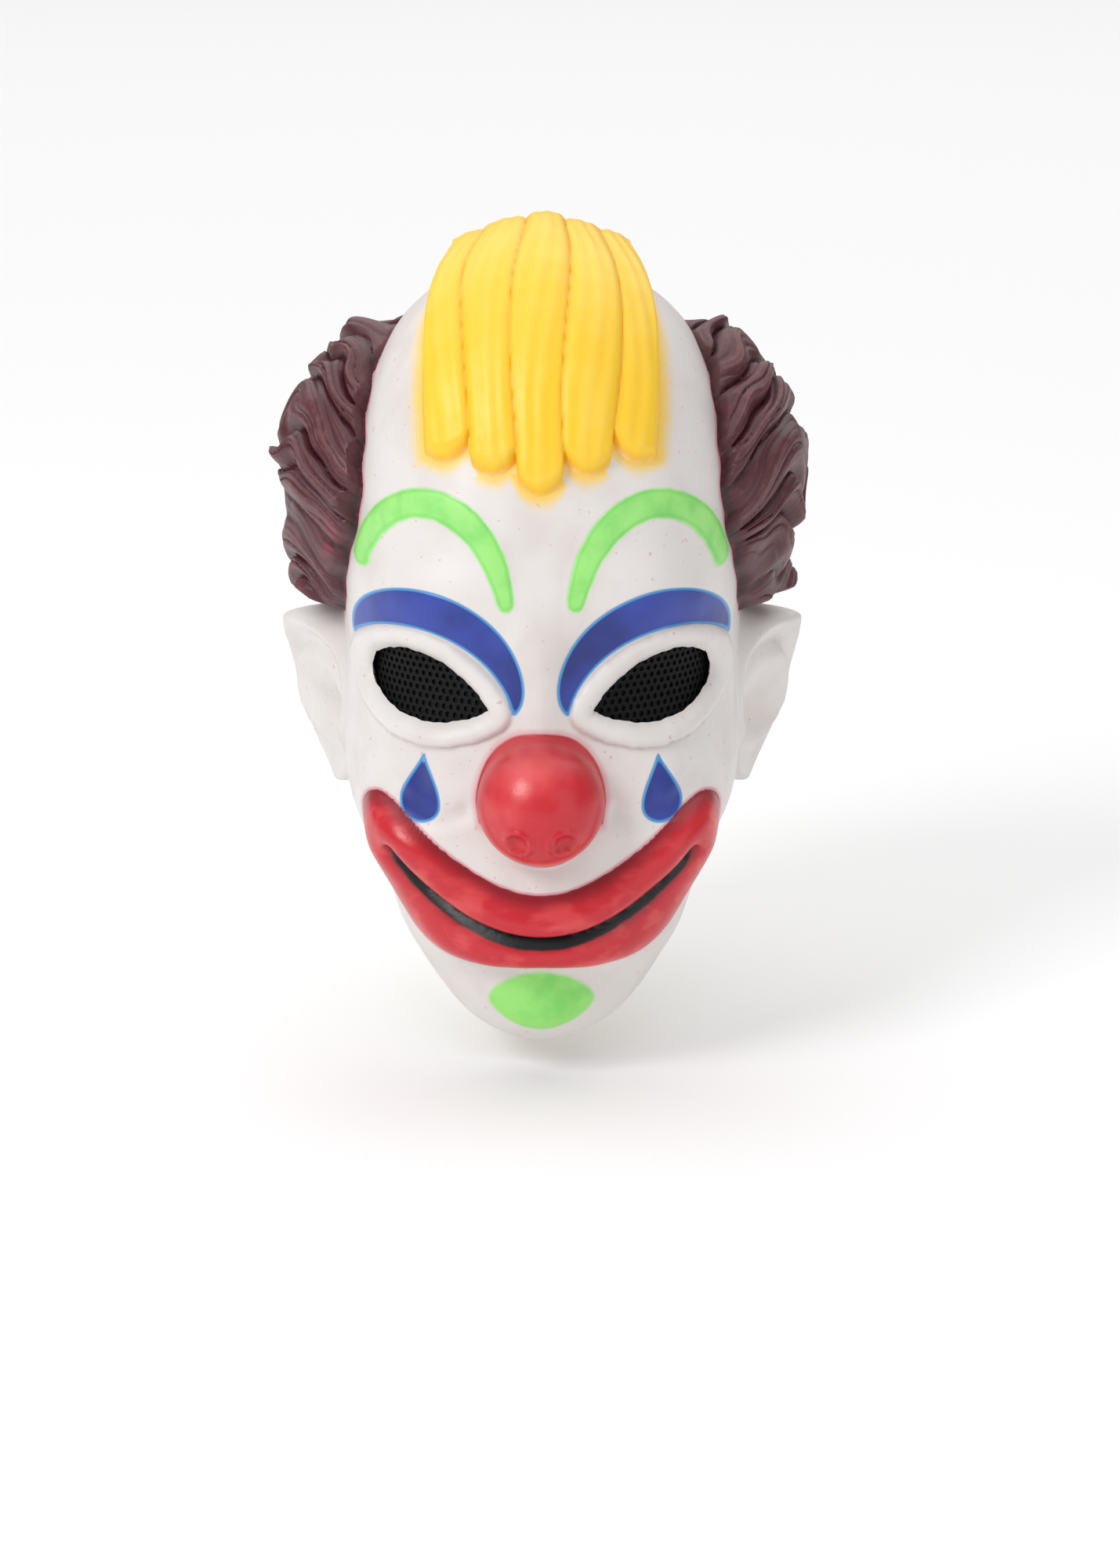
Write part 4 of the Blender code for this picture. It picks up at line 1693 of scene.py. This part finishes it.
@dataclass(frozen=True)
class PaleFloor:
    """A plain pale floor."""

    colour: tuple = tint(246, 246, 246)

    def make(self) -> bpy.types.Material:
        """Builds the material.

        Returns:
            The material.
        """
        board = Board("pale_floor")
        board.finish(self.colour, 0.9)
        return board.material


class Lamp(NamedTuple):
    """A soft square light: its place and its side in metres, and its power in watts."""

    name: str
    place: tuple
    size: float
    watts: float


class Fan(NamedTuple):
    """A run of the shell's lines, by clock angle in degrees from the chin to the crown."""

    first: float
    last: float
    steps: int


@dataclass
class MaskShell:
    """The shell: face, ears, nose, lips and the wall under the hair."""

    casting: Casting
    fans: tuple = (Fan(-90, -40, 42), Fan(-40, 4, 60), Fan(4, 66, 45), Fan(66, 90, 16))
    nose_rings: int = 34
    face_rings: int = 112
    crowding: float = 1.30
    seam: float = math.radians(0.25)
    hole_reach: float = 0.004

    def clock(self) -> Grid:
        """Lists the clock angles all the way round, from the chin by the right to the chin.

        Returns:
            The angles, in radians.
        """
        runs = [np.linspace(f.first, f.last, f.steps, endpoint=False) for f in self.fans]
        half = np.append(np.concatenate(runs), 90.0)
        return np.radians(np.concatenate([half, 180 - half[-2::-1]]))

    def rings(self, last: Grid) -> Grid:
        """Lists the angles from the nose's axis for each line, out to its end.

        Args:
            last: Each line's angle at its end.

        Returns:
            The angles, a row for each ring and a column for each line.
        """
        centre = self.casting.nose.centre(self.casting.form)
        radius, distance = self.casting.nose.radius, np.linalg.norm(centre)
        on_ball = math.acos(-radius / distance) * np.arange(self.nose_rings + 1) / self.nose_rings
        nose = np.arctan2(radius * np.sin(on_ball), distance + radius * np.cos(on_ball))
        first = nose[-1] + self.seam
        share = (np.arange(self.face_rings + 1) / self.face_rings) ** self.crowding
        face = first + (last[None, :] - first) * share[:, None]
        return np.concatenate([np.repeat(nose[:, None], len(last), axis=1), face])

    def edge_gap(self, ways: Grid) -> Grid:
        """Measures how far each direction lies from the cut edge, in metres.

        Args:
            ways: Directions from the origin, one row each.

        Returns:
            The distances.
        """
        table = np.radians(np.linspace(-90, 270, 361))
        last = self.casting.edge_angles(table)
        polar, clock = self.casting.clock_of(ways)
        clock = np.where(clock < -math.pi / 2, clock + math.tau, clock)
        return (np.interp(clock, table, last) - polar) * self.casting.form.reach

    def on_base(self, co: Grid) -> tuple[Grid, Grid, Grid]:
        """Gives each point's direction, and its places on the plain form and on the soft face.

        Args:
            co: Points on or near the shell.

        Returns:
            The directions, the plain points and those on the soft face.
        """
        ways = co / np.linalg.norm(co, axis=1)[:, None]
        plain = ways * self.casting.form.radius(ways)[:, None]
        soft = self.casting.soft(plain) / np.linalg.norm(plain, axis=1)
        return ways, plain, plain * (1 + soft)[:, None]

    def eye_gap(self, base: Grid) -> Grid:
        """Measures outwards from the eye holes' edges, on the front of the face only."""
        return np.where(base[:, 1] < 0, self.casting.eye.gap(base[:, 0], base[:, 2]), 1)

    def open_eyes(self, obj: bpy.types.Object) -> None:
        """Takes out the faces over the eye holes, and draws the holes' edges to their outlines.

        Args:
            obj: The piece.
        """
        mesh = obj.data
        gap = self.eye_gap(self.on_base(corners_of(obj))[2])
        corner = np.empty(len(mesh.loops), int)
        first = np.empty(len(mesh.polygons), int)
        mesh.loops.foreach_get("vertex_index", corner)
        mesh.polygons.foreach_get("loop_start", first)
        only(obj)
        bpy.ops.object.mode_set(mode="EDIT")
        bpy.ops.mesh.select_mode(type="FACE")
        bpy.ops.mesh.select_all(action="DESELECT")
        bpy.ops.object.mode_set(mode="OBJECT")
        mesh.polygons.foreach_set("select", np.add.reduceat(gap[corner], first) < 0)
        bpy.ops.object.mode_set(mode="EDIT")
        bpy.ops.mesh.delete(type="FACE")
        bpy.ops.object.mode_set(mode="OBJECT")
        used = np.empty(len(mesh.loops), int)
        ends = np.empty(len(mesh.edges) * 2, int)
        mesh.loops.foreach_get("edge_index", used)
        mesh.edges.foreach_get("vertices", ends)
        bare = np.bincount(used, minlength=len(mesh.edges)) == 1
        co = corners_of(obj)
        base = self.on_base(co)[2]
        edge = np.zeros(len(co), bool)
        edge[ends.reshape(-1, 2)[bare].ravel()] = True
        at = np.flatnonzero(edge & (np.abs(self.eye_gap(base)) < self.hole_reach))
        outline = self.casting.eye.outline()
        _, nearest = gap_to(np.abs(base[at, 0]), base[at, 2], outline, closed=True)
        co[at] = self.casting.front_at(outline[nearest, 0], outline[nearest, 1])
        co[at, 0] *= np.sign(base[at, 0])
        shape(obj, co)
        LOG.info("eye holes: %d points drawn to their edges", len(at))

    def mark(self, obj: bpy.types.Object, outer: int) -> None:
        """Keeps the paint's distances on the mesh, in millimetres.

        Args:
            obj: The shell.
            outer: How many of its vertices, the first ones, lie on its outer side.
        """
        casting, paint = self.casting, self.casting.paint
        co = corners_of(obj)
        ways, plain, base = self.on_base(co)
        x, y, z = base.T
        behind = np.where(y < 0, 0, 99)
        lips, parting, across = casting.lips.measure(x, z)
        blue = np.maximum(paint.lids(x, z, casting.eye), paint.drops(x, z))
        _, on_nose = casting.place(ways, self.edge_gap(ways))
        keep_numbers(
            obj,
            brow=paint.brows(x, z) / MM - behind,
            blue=blue / MM - behind,
            lips=lips / MM - behind,
            parting=parting / MM - behind,
            across=across,
            nose=on_nose / MM,
            chin=paint.chin(x, z) / MM - behind,
            hair=casting.hair.depth(plain, casting.form) / MM,
            tuft=casting.tuft.carve(plain)[0] / MM,
            rim=casting.eye.gap(x, z) / MM + behind,
            under=(np.arange(len(co)) >= outer).astype(float),
        )

    def build(self) -> bpy.types.Object:
        """Moulds the shell and paints it.

        Returns:
            The finished piece.
        """
        clock = self.clock()
        rings = self.rings(self.casting.edge_angles(clock))
        obj, row, column = add_grid("latex_shell", len(rings) - 1, len(clock) - 1)
        ways = self.casting.fan(rings[row, column], clock[column])
        shape(obj, self.casting.place(ways, self.edge_gap(ways))[0])
        weld(obj)
        self.open_eyes(obj)
        face_away(obj)
        outer = len(obj.data.vertices)
        thicken(obj, self.casting.form.wall, -1)
        self.mark(obj, outer)
        smooth(obj, 75)
        obj.data.materials.append(PaintedLatex().make())
        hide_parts("mask_shell")
        return obj


@dataclass
class HairPiece:
    """The carved hair on one side."""

    casting: Casting
    side: Side
    rows: int = 300
    columns: int = 120
    wall: float = 0.0012
    top: float = 0.126
    margin: float = 0.003

    def build(self) -> bpy.types.Object:
        """Carves the hair and paints it.

        Returns:
            The finished piece.
        """
        form, hair = self.casting.form, self.casting.hair
        name = f"side_hair_{self.side.name.lower()}"
        obj, row, column = add_grid(name, self.rows, self.columns)
        z = hair.foot - self.margin + (self.top - hair.foot + self.margin) * row / self.rows
        edge = form.edge_at(z)
        start = form.reach * between_rows(hair.line, form.share(z), "back") - self.margin
        start = np.minimum(start, edge - self.margin)
        plain = form.on_side(start + (edge - start) * column / self.columns, z, self.side)
        depth = hair.depth(plain, form)
        rise, near = hair.relief(plain, form, self.side)
        full = eased(depth / hair.step)
        height = (hair.body(plain, form) - hair.sunk + rise) * full - hair.tuck * (1 - full)
        length = np.linalg.norm(plain, axis=1)
        height += self.casting.soft(plain)
        shape(obj, plain * (1 + height / length)[:, None])
        keep_numbers(obj, crest=near * full, hair=depth / MM)
        face_away(obj, (0.0, 0.0, 0.05))
        thicken(obj, self.wall, -1)
        smooth(obj)
        obj.data.materials.append(PaintedHair().make())
        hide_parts("mask_shell")
        return obj


@dataclass
class TuftPiece:
    """The carved tuft."""

    casting: Casting
    rows: int = 170
    columns: int = 180
    wall: float = 0.0012
    overhang: float = 1.05
    start: float = math.radians(2.5)
    aimings: int = 4
    halvings: int = 22
    first_angle: float = 1.2
    last_angle: float = 2.0

    def ways(self, angle: Grid, share: Grid) -> Grid:
        """Gives directions at an angle over the face and a share of the tuft's half width.

        Args:
            angle: Angles over the face, in radians.
            share: Shares of the tuft's half width.

        Returns:
            The directions, one row each.
        """
        tuft, form = self.casting.tuft, self.casting.form
        plan = between_rows(tuft.plan, tuft.reach(angle), "half_width", "along")
        x = share * tuft.half_width * plan
        length = np.full(len(angle), form.crown_height)
        for _ in range(self.aimings):
            lean = np.arcsin(np.clip(x / length, -1, 1))
            flat = np.cos(lean)
            ways = np.stack([np.sin(lean), -flat * np.cos(angle), flat * np.sin(angle)], axis=1)
            length = form.radius(ways)
        return ways

    def last_angles(self, share: Grid) -> Grid:
        """Finds the angle over the face where each column meets the cut edge.

        Args:
            share: Shares of the tuft's half width.

        Returns:
            The angle at each column's end.
        """
        low, high = np.full(len(share), self.first_angle), np.full(len(share), self.last_angle)
        for _ in range(self.halvings):
            middle = (low + high) / 2
            ways = self.ways(middle, share)
            plain = ways * self.casting.form.radius(ways)[:, None]
            ahead = plain[:, 1] < self.casting.form.edge_at(plain[:, 2])
            low, high = np.where(ahead, middle, low), np.where(ahead, high, middle)
        return (low + high) / 2

    def build(self) -> bpy.types.Object:
        """Carves the tuft and paints it.

        Returns:
            The finished piece.
        """
        casting, tuft = self.casting, self.casting.tuft
        obj, row, column = add_grid("crown_tuft", self.rows, self.columns)
        shares = np.linspace(-self.overhang, self.overhang, self.columns + 1)
        last = self.last_angles(shares)[column]
        first = tuft.foot_angle - self.start
        ways = self.ways(first + (last - first) * row / self.rows, shares[column])
        length = casting.form.radius(ways)
        plain = ways * length[:, None]
        depth, rise, near = tuft.carve(plain)
        full = eased(depth / tuft.step)
        height = (tuft.body(plain) - tuft.sunk + rise) * full - tuft.tuck * (1 - full)
        height += casting.soft(plain)
        shape(obj, ways * (length + height)[:, None])
        keep_numbers(obj, crest=near * full, tuft=depth / MM)
        face_away(obj)
        thicken(obj, self.wall, -1)
        smooth(obj)
        obj.data.materials.append(PaintedTuft().make())
        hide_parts("mask_shell")
        return obj


@dataclass
class EyeMesh:
    """The mesh behind an eye hole: an open knit in front of a dense black one, which also stands in
    for the shade behind the hole.
    """

    casting: Casting
    side: Side
    pitch: float = 0.0031
    hole: float = 0.00098
    border: float = 0.0045
    inset: float = 0.0030
    gap: float = 0.0007
    knit: float = 0.00045
    glue: float = 0.0019
    row_step: float = 0.866
    sides: int = 12
    rings: int = 14
    steps: int = 96
    area: float = 0.0

    def patch(self) -> Grid:
        """Draws the dense layer's outline on the right."""
        return self.casting.eye.outline(self.border + self.glue)

    def seat(self, x: Grid, z: Grid, inset: float) -> Grid:
        """Gives points inside the wall behind each (x, z) of the right side."""
        return self.casting.front_at(x, z, inset) * (self.side.value, 1, 1)

    def stretch(self) -> tuple[Grid, Grid]:
        """Lists x and the length along the wall up to it, to keep the holes evenly spaced.

        Returns:
            The x values, and the length up to each.
        """
        x = np.linspace(0.008, 0.070, 200)
        points = self.seat(x, np.zeros(200), self.inset)
        steps = np.linalg.norm(np.diff(points, axis=0), axis=1)
        return x, np.append(0, np.cumsum(steps))

    def front(self) -> bpy.types.Object:
        """Knits the open front layer from six-sided cells round holes.

        Returns:
            The layer.
        """
        x_table, run = self.stretch()
        outline = self.casting.eye.outline(self.border)
        low, high = outline.min(axis=0), outline.max(axis=0)
        rows = int((high[1] - low[1]) / (self.pitch * self.row_step)) + 2
        columns = int(run[-1] / self.pitch) + 1
        corners, faces, sides = [], [], self.sides
        turn = np.arange(sides) * math.tau / sides + math.pi / 6
        outer = np.where(np.arange(sides) % 2, self.pitch / 2, self.pitch / math.sqrt(3))
        for row in range(rows):
            for column in range(columns):
                u = (column + 0.5 * (row % 2)) * self.pitch
                z = low[1] + row * self.pitch * self.row_step
                x = np.interp(u, run, x_table)
                if not inside(np.array([x]), np.array([z]), outline)[0]:
                    continue
                first = len(corners)
                for size in (outer, np.full(sides, self.hole)):
                    us, zs = u + size * np.cos(turn), z + size * np.sin(turn)
                    corners += list(zip(np.interp(us, run, x_table), zs))
                inner = first + sides
                for i in range(sides):
                    j = (i + 1) % sides
                    faces.append((first + i, first + j, inner + j, inner + i))
        flat = np.array(corners)
        points = self.seat(flat[:, 0], flat[:, 1], self.inset)
        mesh = bpy.data.meshes.new(f"eye_knit_{self.side.name.lower()}")
        mesh.from_pydata(points.tolist(), [], faces)
        obj = bpy.data.objects.new(mesh.name, mesh)
        bpy.context.scene.collection.objects.link(obj)
        weld(obj, 0.03 * MM)
        face_away(obj)
        thicken(obj, self.knit, -1)
        return obj

    def back(self) -> bpy.types.Object:
        """Knits the dense black layer behind it, which also stands in for the shade behind the
        hole.

        Returns:
            The layer.
        """
        name = f"eye_backing_and_shade_{self.side.name.lower()}"
        obj, row, column = add_grid(name, self.rings, self.steps)
        outline = self.patch()
        turn = np.arange(self.steps + 1) * len(outline) // self.steps
        picked, middle = outline[turn % len(outline)], outline.mean(axis=0)
        flat = middle + (picked[column] - middle) * (row / self.rings)[:, None]
        inset = self.inset + self.gap + self.knit
        shape(obj, self.seat(flat[:, 0], flat[:, 1], inset))
        weld(obj)
        face_away(obj)
        self.area = sum(face.area for face in obj.data.polygons)
        thicken(obj, self.knit, -1)
        return obj

    def flat_size(self) -> tuple[float, float]:
        """Measures the patch along the wall: its width and its height before it is glued in.

        Returns:
            The width and the height.
        """
        outline = self.patch()
        low, high = outline.min(axis=0), outline.max(axis=0)
        x_table, run = self.stretch()
        wide = np.interp(high[0], x_table, run) - np.interp(low[0], x_table, run)
        z = np.linspace(low[1], high[1], 60)
        points = self.seat(np.full(60, outline[:, 0].mean()), z, self.inset)
        tall = np.linalg.norm(np.diff(points, axis=0), axis=1).sum()
        return float(wide), float(tall)

    def build(self) -> list[bpy.types.Object]:
        """Makes both layers.

        Returns:
            The open layer and the dense one.
        """
        node = f"eye_mesh_{self.side.name.lower()}"
        made = []
        # The dense black backing is the knit's own back layer, and also a dark sheet that stands in
        # for the shade behind the eye hole.
        for obj, finish in ((self.front(), "spacer_knit"), (self.back(), "backing_knit_and_shade")):
            smooth(obj, 50)
            obj.data.materials.append(BlackKnit(finish).make())
            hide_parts(node)
            made.append(obj)
        wide, tall = self.flat_size()
        area = min(self.area, wide * tall)
        LOG.info("%s: cut %.1f x %.1f mm, %.0f mm2", node, wide / MM, tall / MM, area / MM**2)
        return made


@dataclass
class HeadStrap:
    """The elastic strap round the back of the head."""

    width: float = 0.018
    thickness: float = 0.0012
    height: float = 0.046
    back_drop: float = 0.016
    lap: float = 0.018
    fullness: float = 0.6
    lap_steps: int = 24
    steps: int = 220
    across: int = 14

    def path(self) -> Grid:
        """Draws the strap's inner face from above, from the left end to the right one.

        Returns:
            The points, one row each.
        """
        low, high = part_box("head_strap")
        seat, start, far = high.x - self.thickness, low.y, high.y - self.thickness
        edge = start + self.lap
        pull = far - edge
        near, wide = edge + self.fullness * pull, self.fullness * seat
        curve = bezier(((seat, edge), (seat, near), (wide, far), (0, far)), self.steps)
        lapped = np.linspace(start, edge, self.lap_steps + 1)[:-1]
        straight = np.column_stack([np.full(self.lap_steps, seat), lapped])
        half = np.vstack([straight, curve])
        drop = self.back_drop * eased((half[:, 1] - edge) / pull)
        half = np.column_stack([half, self.height - drop])
        return np.vstack([half * (-1, 1, 1), half[-2::-1]])

    def build(self) -> bpy.types.Object:
        """Lays the strap.

        Returns:
            The finished piece.
        """
        path = self.path()
        obj, row, column = add_grid("elastic_strap", self.across, len(path) - 1)
        share = row / self.across - 0.5
        points = path[column] + np.outer(share * self.width, (0, 0, 1))
        run = np.append(0, np.cumsum(np.linalg.norm(np.diff(path, axis=0), axis=1)))
        shape(obj, points)
        keep_numbers(obj, across=share * self.width / MM, along=run[column] / MM)
        face_away(obj, (0.0, 0.03, 0.04))
        thicken(obj, self.thickness, 1)
        smooth(obj, 50)
        obj.data.materials.append(WovenElastic().make())
        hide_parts("head_strap")
        return obj


@dataclass
class Studio:
    """The camera, the lights and the floor."""

    long_side_px: int = 2000
    short_side_px: int = 1429
    px_per_metre: float = 3550
    distance: float = 1.6
    elevation: float = math.radians(15)
    eyes_at_px: tuple = (690, 885)
    eye_plane: float = 0.098
    sensor: float = 36
    floor: float = -0.150
    floor_side: float = 12
    air: float = 0.34
    lit_at: tuple = (0.0, -0.05, 0.02)
    lamps: tuple = (
        Lamp("key_light", (-1.25, -1.35, 1.25), 0.8, 22),
        Lamp("fill_light", (1.3, -1.3, 0.45), 1.2, 4),
        Lamp("ceiling_light", (0.0, 2.0, 5.0), 11.0, 430),
    )

    def camera(self) -> bpy.types.Object:
        """Sets the camera where the photographer's was.

        Returns:
            The camera.
        """
        back = Vector((0, -math.cos(self.elevation), math.sin(self.elevation)))
        up = Vector((0, math.sin(self.elevation), math.cos(self.elevation)))
        right_by = (self.short_side_px / 2 - self.eyes_at_px[0]) / self.px_per_metre
        down_by = (self.long_side_px / 2 - self.eyes_at_px[1]) / self.px_per_metre
        target = Vector((right_by, -self.eye_plane, 0)) - up * down_by
        bpy.ops.object.camera_add(location=target + back * self.distance)
        camera = bpy.context.view_layer.objects.active
        camera.rotation_euler = (-back).to_track_quat("-Z", "Y").to_euler()
        camera.data.sensor_width = self.sensor
        view = self.long_side_px / self.px_per_metre
        camera.data.lens = self.sensor * self.distance / view
        bpy.context.scene.camera = camera
        return camera

    def light(self, lamp: Lamp) -> None:
        """Hangs a soft square light that faces the mask.

        Args:
            lamp: The light.
        """
        bpy.ops.object.light_add(type="AREA", location=lamp.place)
        light = bpy.context.view_layer.objects.active
        light.name = lamp.name
        light.data.size = lamp.size
        light.data.energy = lamp.watts
        way = Vector(self.lit_at) - Vector(lamp.place)
        light.rotation_euler = way.to_track_quat("-Z", "Y").to_euler()

    def build(self) -> None:
        """Sets up the whole studio."""
        self.camera()
        for lamp in self.lamps:
            self.light(lamp)
        world = bpy.context.scene.world or bpy.data.worlds.new("studio_air")
        bpy.context.scene.world = world
        world.use_nodes = True
        sky = world.node_tree.nodes["Background"]
        sky.inputs["Color"].default_value = (1, 1, 1, 1)
        sky.inputs["Strength"].default_value = self.air
        bpy.context.scene.view_settings.view_transform = "Standard"
        bpy.ops.object.select_all(action="DESELECT")
        bpy.ops.mesh.primitive_plane_add(size=self.floor_side, location=(0, 0, 0))
        floor = active_mesh("floor")
        shape(floor, corners_of(floor) + (0, 0, self.floor))
        floor.data.materials.append(PaleFloor().make())


def main() -> None:
    """Builds the mask round its frame."""
    logging.basicConfig(level=logging.INFO, format="%(message)s")
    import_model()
    Studio().build()
    casting = Casting()
    made = [MaskShell(casting).build()]
    made += [HairPiece(casting, side).build() for side in Side]
    made.append(TuftPiece(casting).build())
    for side in Side:
        made += EyeMesh(casting, side).build()
    made.append(HeadStrap().build())
    for piece in made:
        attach(piece, "root")
        LOG.info("%s: %d faces", piece.name, len(piece.data.polygons))


if __name__ == "__main__":
    main()
